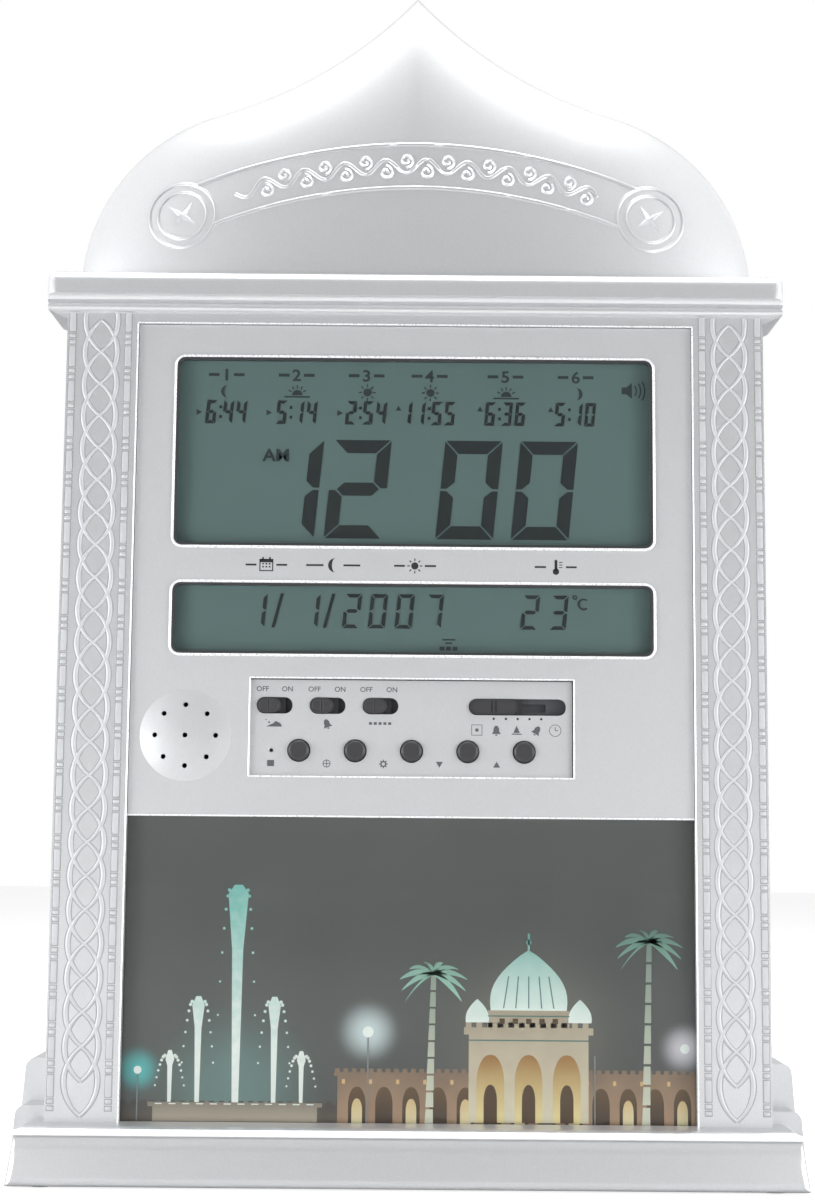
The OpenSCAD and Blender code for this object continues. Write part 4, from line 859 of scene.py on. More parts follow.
@dataclass
class ColumnOrnament:
    """The raised chain of pointed ovals and the bead-and-reel borders on both columns.

    Attributes:
        face: Y of the columns' front.
        centre: X of a column's middle.
        tip_low: Z of the lowest oval's foot.
        pitch: Height from one oval to the next, which is half an oval.
        ovals: Ovals on each column.
        oval_half: Half the width of an oval.
        cut: Z where the cornice cuts the ornament off.
        strand_wide: Width of a strand, and strand_high half its height.
        strand_thin: Share of its width that a strand keeps where it crosses another.
        strand_sunk: How deep a strand's middle lies in the column.
        border_out: X of the outer border, and border_in of the inner one.
        border_low: Z of the lowest bead.
        reel_wide: Width of reels and beads, and reel_high how far they stand up.
        painted_shade_out: How far the painted shade of the crease shows on each side.
        painted_shade_high: How far that painted shade stands up.
    """

    face: float = -21.0
    centre: float = 73.3
    tip_low: float = 14.7
    pitch: float = 7.58
    ovals: int = 24
    oval_half: float = 3.8
    cut: float = 198.2
    strand_wide: float = 1.2
    strand_thin: float = 0.66
    strand_high: float = 0.3
    strand_sunk: float = 0.15
    arc_steps: int = 14
    border_out: float = 80.0
    border_in: float = 67.0
    border_pitch: float = 8.333
    border_low: float = 15.9
    reel_wide: float = 1.4
    reel_high: float = 0.26
    reel_edge: float = 0.2
    reel_long: float = 4.85
    bead_long: float = 0.95
    bead_gap: float = 0.55
    painted_shade_out: float = 0.17
    painted_shade_high: float = 0.03

    def strand(self, wide: float, high: float, sunk: float) -> Piece:
        """Spins the right-hand arc of the lowest oval at X = 0, thinned to its ends.

        Args:
            wide: Its width.
            high: Half its height.
            sunk: How deep its middle lies in the column.

        Returns:
            The strand.
        """
        tall = self.pitch
        radius = (tall ** 2 + self.oval_half ** 2) / (2 * self.oval_half)
        sweep = 2 * math.asin(tall / radius)
        choose()
        bpy.ops.mesh.primitive_circle_add(vertices=12, radius=wide / 2 * MM)
        made = bpy.context.object
        for vertex in made.data.vertices:
            vertex.co.y *= 2 * high / wide
        made.data.transform(Matrix.Rotation(sweep / 2, 4, "Y")
                            @ Matrix.Translation((radius * MM, 0, 0)))
        with editing(made):
            bpy.ops.mesh.spin(steps=self.arc_steps, angle=sweep, center=(0, 0, 0),
                              axis=(0, 1, 0))
            bpy.ops.mesh.select_all(action="SELECT")
            bpy.ops.mesh.remove_doubles(threshold=0.001 * MM)
            bpy.ops.mesh.select_non_manifold()
            bpy.ops.mesh.edge_face_add()
        turn_outwards(made)
        for vertex in made.data.vertices:
            along = math.hypot(vertex.co.x, vertex.co.z)
            turn = math.atan2(vertex.co.z, vertex.co.x)
            full = max(0.0, math.cos(math.pi * turn / sweep)) ** 2
            share = self.strand_thin + (1 - self.strand_thin) * full
            along = radius * MM + (along - radius * MM) * share
            vertex.co.x, vertex.co.z = along * math.cos(turn), along * math.sin(turn)
        made.data.transform(Matrix.Translation(Vector(
            (self.oval_half - radius, self.face + sunk, self.tip_low + tall)) * MM))
        return made

    def chain(self, wide: float, high: float, sunk: float) -> Piece:
        """Repeats the strand up both columns and cuts the chain off under the cornice.

        Args:
            wide: Width of a strand.
            high: Half its height.
            sunk: How deep its middle lies in the column.

        Returns:
            Both chains.
        """
        moves = [Matrix.Translation(Vector((column, 0, self.pitch * step)) * MM)
                 @ Matrix.Diagonal((turn, 1, 1, 1))
                 for column in (-self.centre, self.centre) for turn in (1, -1)
                 for step in range(self.ovals)]
        made = repeated(self.strand(wide, high, sunk), moves)
        turn_outwards(made)
        cut_above(made, self.cut)
        return made

    def borders(self, out: float, high: float, edge: float) -> Piece:
        """Models one reel with its two beads and repeats them up each border.

        Args:
            out: How far each runs out past its own outline.
            high: How far it stands up.
            edge: How round its edges are.

        Returns:
            All the borders.
        """
        half = self.reel_wide / 2 + out
        period = []
        lowest = self.border_low
        for length in (self.bead_long, self.bead_long, self.reel_long):
            period.append(block((-half, self.face - high, lowest - out),
                                (half, self.face + high, lowest + length + out), edge))
            lowest += length + self.bead_gap
        rows = math.ceil((self.cut - self.border_low) / self.border_pitch)
        moves = [Matrix.Translation(Vector((x, 0, self.border_pitch * row)) * MM)
                 for x in (-self.border_out, -self.border_in, self.border_in, self.border_out)
                 for row in range(rows)]
        made = repeated(join(period), moves)
        cut_above(made, self.cut)
        return made

    def build(self) -> None:
        """Builds the chains and the borders, each over a wider, darker copy that paints the shade
        of its crease.
        """
        # The wider, darker copies under the relief are painted shade along its foot.
        foot = self.painted_shade_out
        present(self.chain(self.strand_wide + 2 * foot, self.painted_shade_high, 0.0),
                "column_chain_painted_shade", PAINTED_CREASE_SHADE, smooth=50)
        present(self.borders(foot, self.painted_shade_high, 0.0), "column_border_painted_shade", PAINTED_CREASE_SHADE,
                smooth=0)
        present(self.chain(self.strand_wide, self.strand_high, self.strand_sunk),
                "column_chains", RELIEF_PAINTED_DARKER, smooth=50)
        present(self.borders(0.0, self.reel_high, self.reel_edge), "column_borders", RELIEF_PAINTED_DARKER,
                weighted=True)


@dataclass
class Trim:
    """The rims of windows, control field and opening, near white as a painted highlight; the
    windows' dark linings; and a strip of painted shade in the control field.

    Attributes:
        panel: Y of the panel's front.
        opening: Half the width of the opening between the columns.
        picture_high: Z of the rim over the picture.
        face: Y of the columns' front.
        windows: Left, bottom, right and top of both windows.
        window_corner: Radius of their corners.
        rim: Radius of a window's rim.
        rim_out: How far outside the window its middle runs.
        rim_front: Y of its middle.
        lining: How far a window's lining shows inside it, and lining_out outside it.
        field: Left, bottom, right and top of the sunk control field.
        field_shade_width: Width of the painted shade along the field's top and right, where its
            sunk edge lies in shadow.
        field_shade_front: Where that painted shade starts behind the panel's front, and
            field_shade_back where it ends.
        line: Radius of the thin rims.
        proud: Share of a thin rim's radius by which it stands on the shell.
    """

    panel: float = -20.0
    opening: float = 64.6
    opening_low: float = 13.4
    opening_high: float = 196.0
    picture_high: float = 81.6
    face: float = -21.0
    windows: tuple[Box, ...] = ((-55.0, 144.2, 55.0, 187.7), (-55.0, 119.1, 55.0, 134.6))
    window_corner: float = 1.5
    rim: float = 0.33
    rim_out: float = 0.75
    rim_front: float = -20.35
    lining: float = 0.08
    lining_out: float = 0.43
    lining_front: float = -20.52
    lining_back: float = -18.78
    field: Box = (-37.0, 90.8, 37.0, 113.0)
    field_shade_width: float = 0.22
    field_shade_front: float = 0.25
    field_shade_back: float = 1.02
    line: float = 0.18
    proud: float = 0.8

    def outline(self, box: Box, out: float, corner: float) -> Outline:
        """Lists the points of an upright rectangle with round corners.

        Args:
            box: Left, bottom, right and top.
            out: How far outside the box it runs.
            corner: Radius of its corners.

        Returns:
            Its points.
        """
        left, bottom, right, top = box[0] - out, box[1] - out, box[2] + out, box[3] + out
        points: Outline = []
        for x, z, start in ((right - corner, top - corner, 0), (left + corner, top - corner, 90),
                            (left + corner, bottom + corner, 180),
                            (right - corner, bottom + corner, 270)):
            points += ring((x, z), corner, 6, start, start + 90)
        return points

    def bead(self, outline: Outline, depth: float, radius: float) -> Piece:
        """Models a half-round bead that runs round an outline at one depth."""
        return strokes([[(x, depth, z) for x, z in outline]], radius, 3, closed=True)

    def lined(self, box: Box) -> Piece:
        """Models the dark lining of one window's walls."""
        outer = self.outline(box, self.lining_out, self.window_corner + self.lining_out)
        inner = self.outline(box, -self.lining, self.window_corner - self.lining)
        count = len(outer)
        quads = [[outer[i], outer[(i + 1) % count], inner[(i + 1) % count], inner[i]]
                 for i in range(count)]
        return plates(quads, self.lining_front, self.lining_back)

    def panel_rims(self) -> Piece:
        """Models the panel's rims: round windows and control field, and over the picture."""
        rims = [self.bead(self.outline(box, self.rim_out, self.window_corner + self.rim_out),
                          self.rim_front, self.rim) for box in self.windows]
        rims.append(self.bead(self.outline(self.field, self.line, self.line), self.panel,
                              self.line))
        rims.append(strokes([[(-self.opening, self.panel, self.picture_high),
                              (self.opening, self.panel, self.picture_high)]], self.line, 2))
        return join(rims)

    def opening_rims(self) -> Piece:
        """Models the thin rims up both columns and along the frieze."""
        edge = self.opening + self.line * self.proud
        high = self.opening_high + self.line * self.proud
        sides = [[(side * edge, self.face, self.opening_low),
                  (side * edge, self.face, self.opening_high)] for side in (-1, 1)]
        top = [(-edge, self.face, high), (edge, self.face, high)]
        return strokes([*sides, top], self.line, 2)

    def linings(self) -> Piece:
        """Models the dark linings of both windows, and the painted shade strip along the control
        field's top and right.
        """
        left, bottom, right, top = self.field
        wide = self.field_shade_width
        # Painted shade: a dark strip inside the field's top and right edges, where the sunk edge
        # lies in shadow.
        field = plates([rectangle(left, top - wide, right, top),
                        rectangle(right - wide, bottom, right, top - wide)],
                       self.panel + self.field_shade_front, self.panel + self.field_shade_back)
        return join([self.lined(box) for box in self.windows] + [field])

    def build(self) -> None:
        """Builds the rims, near white as a painted highlight, and the linings with the field's
        painted shade.
        """
        present(self.panel_rims(), "panel_rims", RIM_PAINTED_HIGHLIGHT, smooth=60)
        present(self.opening_rims(), "opening_rims", RIM_PAINTED_HIGHLIGHT, smooth=60)
        present(self.linings(), "window_linings_and_field_shade", DARK, smooth=0)


@dataclass
class CrestRelief:
    """The arched band on the crest with a scroll in it and a medallion at each end.

    Attributes:
        crest: The crest's copy, which the relief lies on.
        arc_z: Z of the band's centre.
        outer: Radius of the band's outer rim.
        inner: Radius of its inner rim.
        rim: Radius of the rims' section.
        reach: How far the rims reach off the middle, in degrees.
        medal_x: X of a medallion's middle, and medal_z its Z.
        medal_outer: Radius of its outer step, and medal_inner of its inner one.
        tuck: How far the band's rims run in under a medallion.
        star: Radius of the star's tips.
        star_waist: Radius where two arms meet.
        star_turn: How far the star is turned, in degrees.
        star_high: How far its middle stands up.
        star_sunk: How deep its outline lies in the crest.
        stem: Radius of the scroll's stem.
        waves: Half waves of the stem on each side.
        swing: How far the stem swings off the band's middle.
        span: How far the scroll reaches off the middle, in degrees.
        curl: Radius of a tendril's first turn.
        curl_off: How far a tendril's middle lies off the band's middle.
    """

    crest: Piece
    arc_z: float = 93.1
    outer: float = 147.0
    inner: float = 136.1
    rim: float = 0.55
    reach: float = 23.0
    medal_x: float = 55.5
    medal_z: float = 223.1
    medal_outer: float = 8.0
    medal_inner: float = 5.9
    tuck: float = 0.2
    star: float = 5.0
    star_waist: float = 1.25
    star_turn: float = -35.0
    star_high: float = 1.1
    star_sunk: float = 0.25
    stem: float = 0.5
    waves: int = 9
    swing: float = 1.7
    span: float = 17.6
    curl: float = 1.75
    curl_off: float = 1.4

    def surface(self) -> BVHTree:
        """Reads the crest's faces, for finding its front at any point."""
        mesh = self.crest.data
        return BVHTree.FromPolygons([v.co.copy() for v in mesh.vertices],
                                    [tuple(p.vertices) for p in mesh.polygons])

    def lay(self, piece: Piece, steps: int = 0) -> Piece:
        """Lays a flat relief, modelled round Y = 0, on the crest's front.

        Args:
            piece: The relief.
            steps: Times that its faces are subdivided first.

        Returns:
            The same object.
        """
        if steps:
            with editing(piece):
                bpy.ops.mesh.subdivide(number_cuts=steps)
        tree = self.surface()
        for vertex in piece.data.vertices:
            hit = tree.ray_cast(Vector((vertex.co.x, -1, vertex.co.z)), Vector((0, 1, 0)))
            if hit[0] is not None:
                vertex.co.y += hit[0].y
        return piece

    def polar(self, degrees: float, radius: float) -> Point:
        """Finds a point of the band from its angle off the middle and its radius."""
        angle = math.radians(degrees)
        return radius * math.sin(angle), self.arc_z + radius * math.cos(angle)

    def rims(self) -> Piece:
        """Models both rims of the band, from one medallion to the other."""
        count = 60
        lines = []
        for radius in (self.outer, self.inner):
            points = [self.polar(step * self.reach / count, radius)
                      for step in range(-count, count + 1)]
            lines.append([(x, 0.0, z) for x, z in points if abs(x) < self.medal_x and math.hypot(
                abs(x) - self.medal_x, z - self.medal_z) > self.medal_outer - self.tuck])
        return strokes(lines, self.rim)

    def medallions(self) -> Piece:
        """Models the flat ring of each medallion, with a thin step at both its edges."""
        lines = [[(x, 0.0, z) for x, z in ring((side * self.medal_x, self.medal_z), radius, 48)]
                 for side in (-1, 1) for radius in (self.medal_outer, self.medal_inner)]
        return strokes(lines, self.rim * 0.8, closed=True)

    def star_of(self, side: int) -> Piece:
        """Models one medallion's four-armed star, with a raised ridge along each arm.

        Args:
            side: -1 for the left medallion, 1 for the right one.

        Returns:
            The star.
        """
        x, z = side * self.medal_x, self.medal_z
        outline = []
        for arm in range(4):
            tip = math.radians(90 * arm + 90 - self.star_turn * side)
            waist = tip + math.radians(45)
            outline.append((x + self.star * math.cos(tip), z + self.star * math.sin(tip)))
            outline.append((x + self.star_waist * math.cos(waist),
                            z + self.star_waist * math.sin(waist)))
        choose()
        bpy.ops.mesh.primitive_circle_add(vertices=len(outline), fill_type="TRIFAN")
        made = bpy.context.object
        bpy.ops.object.transform_apply(location=True, rotation=True, scale=True)
        corners = [vertex for vertex in made.data.vertices if vertex.co.length > 0.5]
        hub = next(vertex for vertex in made.data.vertices if vertex.co.length < 0.5)
        hub.co = Vector((x, -self.star_high, z)) * MM
        for vertex, (tip_x, tip_z) in zip(corners, outline):
            vertex.co = Vector((tip_x, self.star_sunk, tip_z)) * MM
        return made

    def stars(self) -> Piece:
        """Models both stars."""
        made = join([self.star_of(side) for side in (-1, 1)])
        turn_outwards(made)
        return made

    def scroll(self) -> Piece:
        """Models a winding stem with curled tendrils, a plain scroll ornament."""
        count = 96
        middle = (self.outer + self.inner) / 2
        stem = []
        for step in range(-count, count + 1):
            share = step / count
            lift = self.swing * math.sin(share * self.waves * math.pi)
            x, z = self.polar(share * self.span, middle + lift)
            stem.append((x, 0.0, z))
        lines = [stem]
        for wave in range(-self.waves + 1, self.waves):
            share = (wave + 0.5) / self.waves
            up = 1 if math.sin(share * self.waves * math.pi) > 0 else -1
            lines.append(self.tendril(share * self.span, middle, -up))
        return strokes(lines, self.stem)

    def tendril(self, degrees: float, middle: float, up: int) -> list[tuple]:
        """Lists the points of one tendril that leaves the stem and curls in.

        Args:
            degrees: Where on the band it curls.
            middle: Radius of the band's middle.
            up: 1 where it curls above the stem, -1 below.

        Returns:
            Its points.
        """
        steps, turn_each, fade = 18, 26, 24
        points = []
        for step in range(steps + 1):
            turn = math.radians(-90 + turn_each * step)
            radius = self.curl * (1 - step / fade)
            along = degrees + math.degrees(radius * math.cos(turn) / middle)
            x, z = self.polar(along, middle + up * (self.curl_off + radius * math.sin(turn)))
            points.append((x, 0.0, z))
        return points

    def build(self) -> None:
        """Builds the relief and lays it on the crest."""
        present(self.lay(self.rims()), "crest_band_rims", SILVER, smooth=60)
        present(self.lay(self.medallions()), "crest_medallions", SILVER, smooth=60)
        present(self.lay(self.stars(), 4), "crest_stars", SILVER, smooth=12)
        present(self.lay(self.scroll()), "crest_scroll", SILVER, smooth=60)


@dataclass
class Display:
    """One liquid-crystal display: its clear lens, its cell and the segments that are on.

    Attributes:
        label: The CAD node of its cell.
        cell_front: Y of the cell's front.
        mark_front: Y of the segments' front.
        mark_back: Y of their backs.
        lens_thinner: How much thinner the lens is than its CAD solid.
        slant: How far the digits lean, in degrees.
    """

    label: str
    cell_front: float = -17.2
    mark_front: float = -17.42
    mark_back: float = -17.3
    lens_thinner: float = 0.15
    slant: float = 5.5

    def digit(self, shown: str, left: float, low: float, width: float, height: float,
              thick: float, gap: float) -> list[Outline]:
        """Draws the bars of one seven-segment digit.

        Args:
            shown: Which digit.
            left: X of its lower left corner.
            low: Z of its foot.
            width: Its width.
            height: Its height.
            thick: Thickness of a bar.
            gap: Half the gap between two bars.

        Returns:
            Outlines of the bars.
        """
        w, h, t, g = width, height, thick, gap
        m, nose = h / 2, t * 0.45
        shapes = {
            "A": [(g, h), (w - g, h), (w - t - g, h - t), (t + g, h - t)],
            "D": [(g, 0), (t + g, t), (w - t - g, t), (w - g, 0)],
            "G": [(t / 2 + g, m), (t + g, m + t / 2), (w - t - g, m + t / 2), (w - t / 2 - g, m),
                  (w - t - g, m - t / 2), (t + g, m - t / 2)],
            "F": [(0, h - g), (t, h - t - g), (t, m + t / 2 + g), (nose, m + g), (0, m + g)],
            "E": [(0, g), (0, m - g), (nose, m - g), (t, m - t / 2 - g), (t, t + g)],
            "B": [(w, h - g), (w, m + g), (w - nose, m + g), (w - t, m + t / 2 + g),
                  (w - t, h - t - g)],
            "C": [(w, g), (w - t, t + g), (w - t, m - t / 2 - g), (w - nose, m - g), (w, m - g)],
        }
        lean = math.tan(math.radians(self.slant))
        return [[(left + x + z * lean, low + z) for x, z in shapes[bar]]
                for bar in DIGIT_BARS[shown]]

    def glass(self) -> None:
        """Makes the lens and the cell, thin enough that the segments fit between them."""
        lens = f"{self.label}_lens"
        slab_for(lens, f"{lens}_polished", ACRYLIC, 0.12,
                 thinner=self.lens_thinner)
        slab_for(self.label, f"{self.label}_cell", CELL, 0.1, self.cell_front)

    def show(self, outlines: list[Outline], name: str, finish: Finish) -> None:
        """Makes one group of segments."""
        present(plates(outlines, self.mark_front, self.mark_back), name, finish,
                smooth=0)


@dataclass
class TimeDisplay(Display):
    """The upper display: big clock, six small times and their headings."""

    # Each big digit with its left end and width, then each small time with its left and right end.
    clock: tuple = (("1", -35.3, 12.0), ("2", -20.9, 13.4), ("0", 5.1, 13.4), ("0", 22.7, 13.4))
    clock_low: float = 146.0
    clock_high: float = 23.3
    clock_bar: float = 3.1
    clock_gap: float = 0.28
    times: tuple = (("644", -49.2, -39.2), ("514", -32.8, -22.7), ("254", -16.2, -6.4),
                    ("1155", -2.7, 9.7), ("636", 16.4, 26.2), ("510", 33.0, 42.6))
    small_low: float = 173.0
    small_high: float = 5.6
    small_wide: float = 2.35
    small_bar: float = 0.75
    small_gap: float = 0.07
    small_pitch: float = 3.1
    colon: float = 0.62
    colon_room: float = 0.85
    numeral_z: float = 184.7
    sign_z: float = 180.7

    def build(self) -> None:
        """Builds the display with twelve o'clock on it."""
        self.glass()
        dark: list[Outline] = []
        for digit, left, width in self.clock:
            dark += self.digit(digit, left, self.clock_low, width, self.clock_high,
                               self.clock_bar, self.clock_gap)
        for digits, _, right in self.times:
            dark += self.small_time(digits, right)
        self.show(dark, "time_segments", SEGMENT)
        self.headings([(left + right) / 2 for _, left, right in self.times])
        present(lettering("AM", 2.9, (-32.2, 165.6), self.mark_front, 0.1, 1.05),
                "time_half_day", SEGMENT_SOFT, smooth=0)

    def small_time(self, digits: str, right: float) -> list[Outline]:
        """Draws one small time from its last digit to its first, with the colon between.

        Args:
            digits: Its digits without the colon.
            right: Right end.

        Returns:
            The outlines.
        """
        made: list[Outline] = []
        x = right - 0.5 - self.small_wide
        for index, digit in enumerate(reversed(digits)):
            made += self.digit(digit, x, self.small_low, self.small_wide, self.small_high,
                               self.small_bar, self.small_gap)
            x -= self.small_pitch
            if index == 1:
                left = x + self.small_pitch - self.colon
                made += [rectangle(left, self.small_low + z, left + self.colon,
                                   self.small_low + z + 0.7) for z in (1.3, 3.6)]
                x -= self.colon_room
        return made

    def headings(self, centres: list[float]) -> None:
        """Sets a numeral between two rules over each small time, and a sign of the hour under it.

        Args:
            centres: X of each column's middle.
        """
        soft: list[Outline] = []
        numerals = []
        rule_low, rule_high = self.numeral_z - 0.35, self.numeral_z + 0.35
        for index, x in enumerate(centres):
            numerals.append(lettering(str(index + 1), 2.7, (x, self.numeral_z),
                                      self.mark_front, 0.08, 1.1))
            soft += [rectangle(x + near, rule_low, x + near + 2.5, rule_high)
                     for near in (-4.2, 1.7)]
            soft += self.hour_sign(index, x + 0.2, self.sign_z)
        lefts = [left for _, left, _ in self.times]
        soft += [[(x - 1.9, 175.0), (x - 0.6, 175.7), (x - 1.9, 176.4)] for x in lefts[:3]]
        soft += [[(x - 1.7, 176.4), (x - 0.4, 176.4), (x - 1.05, 177.6)] for x in lefts[3:]]
        soft += self.corner_sign()
        present(join(numerals), "time_column_numerals", SEGMENT_SOFT, smooth=0)
        self.show(soft, "time_signs", SEGMENT_SOFT)

    def hour_sign(self, index: int, x: float, z: float) -> list[Outline]:
        """Draws a sun or moon that stands for the hour of one column.

        Args:
            index: The column, from the left.
            x: Middle.
            z: Middle.

        Returns:
            The outlines.
        """
        if index in (0, 5):
            return crescent((x, z), 1.45, 1 if index == 0 else -1)
        if index in (1, 4):
            low = z - 0.8
            half = ring((x, low), 1.25, 10, 0, 180)
            horizon = rectangle(x - 3.0, z - 1.35, x + 3.0, z - 1.0)
            return [half, horizon] + rays((x, low), tuple(range(30, 180, 30)), 1.6, 2.4)
        return [ring((x, z), 0.95, 14)] + rays((x, z), EIGHT_WAYS, 1.3, 2.0)

    def corner_sign(self) -> list[Outline]:
        """Draws the small sounding speaker at the upper right."""
        x, z = 48.6, 181.6
        made = [rectangle(x, z - 0.8, x + 1.1, z + 0.8),
                [(x + 1.1, z - 0.8), (x + 2.4, z - 1.9), (x + 2.4, z + 1.9), (x + 1.1, z + 0.8)]]
        for radius in (2.4, 3.4, 4.4):
            made += band((x + 1.2, z), radius - 0.3, radius, -32, 32, 5)
        return made


@dataclass
class DateDisplay(Display):
    """The lower display: day, month, year and temperature."""

    # Each digit and each slash with its left end.
    digits: tuple = (("1", -38.3), ("1", -26.0), ("2", -16.4), ("0", -10.4), ("0", -4.2),
                     ("7", 2.6), ("2", 24.9), ("3", 31.5))
    slashes: tuple = (-32.7, -20.8)
    low: float = 125.0
    high: float = 8.0
    wide: float = 3.9
    bar: float = 0.85
    gap: float = 0.22

    def build(self) -> None:
        """Builds the display with the first day of 2007 and 23 degrees on it."""
        self.glass()
        low, high = self.low, self.low + self.high
        made: list[Outline] = []
        for digit, left in self.digits:
            made += self.digit(digit, left, low, self.wide, self.high, self.bar, self.gap)
        made += [[(x, low), (x + 0.75, low), (x + 2.85, high), (x + 2.1, high)]
                 for x in self.slashes]
        self.show(made, "date_segments", SEGMENT)
        degree = band((37.6, 132.6), 0.3, 0.55, count=10)
        celsius = band((39.6, 131.0), 0.95, 1.4, 50, 310, 14)
        day = [rectangle(x, 120.0, x + 1.1, 120.9) for x in (6.3, 7.8, 9.3)]
        day += [rectangle(6.9, 122.3, 9.9, 122.7), rectangle(7.6, 121.5, 9.2, 121.9)]
        self.show(celsius + degree + day, "date_signs", SEGMENT_SOFT)


@dataclass
class PanelPrint:
    """Everything that is pad-printed on the panel."""

    panel: float = -20.02
    sunk: float = -19.02
    deep: float = 0.03
    label_z: float = 139.3
    sign_z: float = 101.6
    dot_z: float = 104.2
    switch_x: tuple = (-31.4, -19.45, -7.5)
    caption_z: float = 110.7
    key_z: float = 93.65

    def rules(self, x: float, left: float, right: float) -> list[Outline]:
        """Draws the two short rules beside a printed sign.

        Args:
            x: The sign's middle.
            left: Left end of the label.
            right: Right end of the label.

        Returns:
            The outlines.
        """
        half, room = 0.22, 2.3
        low, high = self.label_z - half, self.label_z + half
        return [rectangle(left, low, x - room, high), rectangle(x + room, low, right, high)]

    def labels(self) -> list[Outline]:
        """Draws the signs over the lower display: a calendar sheet, moon, sun and thermometer."""
        z = self.label_z
        made = self.calendar(-33.9, z) + self.rules(-33.9, -38.7, -29.1)
        made += crescent((-18.0, z), 1.65, 1) + self.rules(-18.4, -24.7, -12.2)
        made += [ring((0.4, z), 0.85, 16)] + rays((0.4, z), EIGHT_WAYS, 1.15, 1.75)
        made += self.rules(0.4, -4.4, 5.3)
        made += self.thermometer(33.0, z) + self.rules(33.0, 28.1, 37.8)
        return made

    def calendar(self, x: float, z: float) -> list[Outline]:
        """Draws a calendar sheet with two pins and six days."""
        made = self.frame(x - 1.6, z - 1.5, x + 1.6, z + 1.35, 0.25)
        made += [rectangle(x - 1.6, z + 0.55, x + 1.6, z + 1.35)]
        made += [rectangle(x + side - 0.18, z + 1.2, x + side + 0.18, z + 1.8)
                 for side in (-0.8, 0.8)]
        made += [rectangle(x + aside - 0.2, z + up - 0.65, x + aside + 0.2, z + up - 0.3)
                 for aside in (-0.75, 0.0, 0.75) for up in (0.0, 0.7)]
        return made

    def thermometer(self, x: float, z: float) -> list[Outline]:
        """Draws a thermometer with its bulb and scale."""
        made = [ring((x, z - 1.05), 0.75, 16), rectangle(x - 0.33, z - 0.8, x + 0.33, z + 1.45),
                ring((x, z + 1.4), 0.33, 12, 0, 180)]
        made += [rectangle(x + 0.7, z + up - 0.1, x + 1.5, z + up + 0.1)
                 for up in (-0.1, 0.5, 1.1)]
        return made

    def frame(self, left: float, bottom: float, right: float, top: float,
              line: float) -> list[Outline]:
        """Draws a thin square frame from four strips."""
        return [rectangle(left, bottom, right, bottom + line),
                rectangle(left, top - line, right, top),
                rectangle(left, bottom + line, left + line, top - line),
                rectangle(right - line, bottom + line, right, top - line)]

    def bell(self, x: float, z: float, lean: float = 0.0) -> list[Outline]:
        """Draws a small bell.

        Args:
            x: Middle.
            z: Middle.
            lean: How far it is turned, in degrees.

        Returns:
            The outlines.
        """
        size = 1.25
        shape = [(-0.85, -0.7), (0.85, -0.7), (0.55, -0.3), (0.5, 0.35), (0.2, 0.8),
                 (-0.2, 0.8), (-0.5, 0.35), (-0.55, -0.3)]
        clapper = [(-0.2, -1.0), (0.2, -1.0), (0.2, -0.78), (-0.2, -0.78)]
        c, s = size * math.cos(math.radians(lean)), size * math.sin(math.radians(lean))
        return [[(x + px * c - pz * s, z + px * s + pz * c) for px, pz in part]
                for part in (shape, clapper)]

    def clock(self, x: float, z: float, radius: float) -> list[Outline]:
        """Draws a clock face with two hands."""
        return band((x, z), radius - 0.14, radius, count=20) + [
            rectangle(x - 0.08, z - 0.05, x + 0.08, z + radius * 0.62),
            rectangle(x - 0.08, z - 0.08, x + radius * 0.5, z + 0.08)]

    def mode_signs(self) -> list[Outline]:
        """Draws a sign for each place of the mode switch."""
        z = self.sign_z
        made = self.frame(13.7, z - 1.25, 16.2, z + 1.25, 0.14)
        made += [rectangle(14.6, z - 0.35, 15.3, z + 0.35)] + self.bell(19.4, z)
        made += [rectangle(22.9, z - 1.0, 25.2, z - 0.75),
                 [(23.3, z - 0.6), (24.8, z - 0.6), (24.05, z + 1.1)]]
        return made + self.bell(28.7, z, -30) + self.clock(32.9, z, 1.4)

    def switch_signs(self) -> list[Outline]:
        """Draws what each slide switch turns on: a call, the bell and the stepping tone."""
        call, alarm, tone = self.switch_x
        made = [[(call - 2.0, 102.0), (call + 1.7, 102.0), (call + 1.3, 102.8),
                 (call + 0.2, 103.3), (call - 0.3, 102.8)],
                ring((call - 1.3, 103.0), 0.22, 8), ring((call - 2.0, 103.6), 0.16, 8)]
        made += self.bell(alarm, 102.8, 20)
        made += [rectangle(tone - 2.3 + i * 1.1, 102.6, tone - 1.6 + i * 1.1, 103.2)
                 for i in range(5)]
        return made

    def key_signs(self) -> list[Outline]:
        """Draws what the buttons do: stop, place, set, down and up."""
        z = self.key_z
        made = [rectangle(-33.0, z - 0.7, -31.4, z + 0.7)]
        made += band((-19.4, z), 0.72, 0.9, count=20)
        made += [rectangle(-20.2, z - 0.08, -18.6, z + 0.08),
                 rectangle(-19.48, z - 0.8, -19.32, z + 0.8)]
        made += band((-6.4, z), 0.38, 0.7, count=16) + rays((-6.4, z), EIGHT_WAYS, 0.68, 0.98)
        made += [[(5.6, z + 0.6), (7.2, z + 0.6), (6.4, z - 0.75)],
                 [(18.7, z - 0.6), (20.3, z - 0.6), (19.5, z + 0.75)]]
        return made

    def on_and_off(self) -> Piece:
        """Prints OFF and ON over each slide switch."""
        ends = ((-34.3, -28.6), (-22.4, -16.5), (-10.5, -4.6))
        return join([lettering(word, 1.15, (x, self.caption_z), self.sunk, 0.02)
                     for pair in ends for word, x in zip(("OFF", "ON"), pair)])

    def printed(self, outlines: list[Outline], front: float, name: str, ink: Finish) -> None:
        """Prints one group of signs at its depth."""
        present(plates(outlines, front, front + self.deep), name, ink, smooth=0)

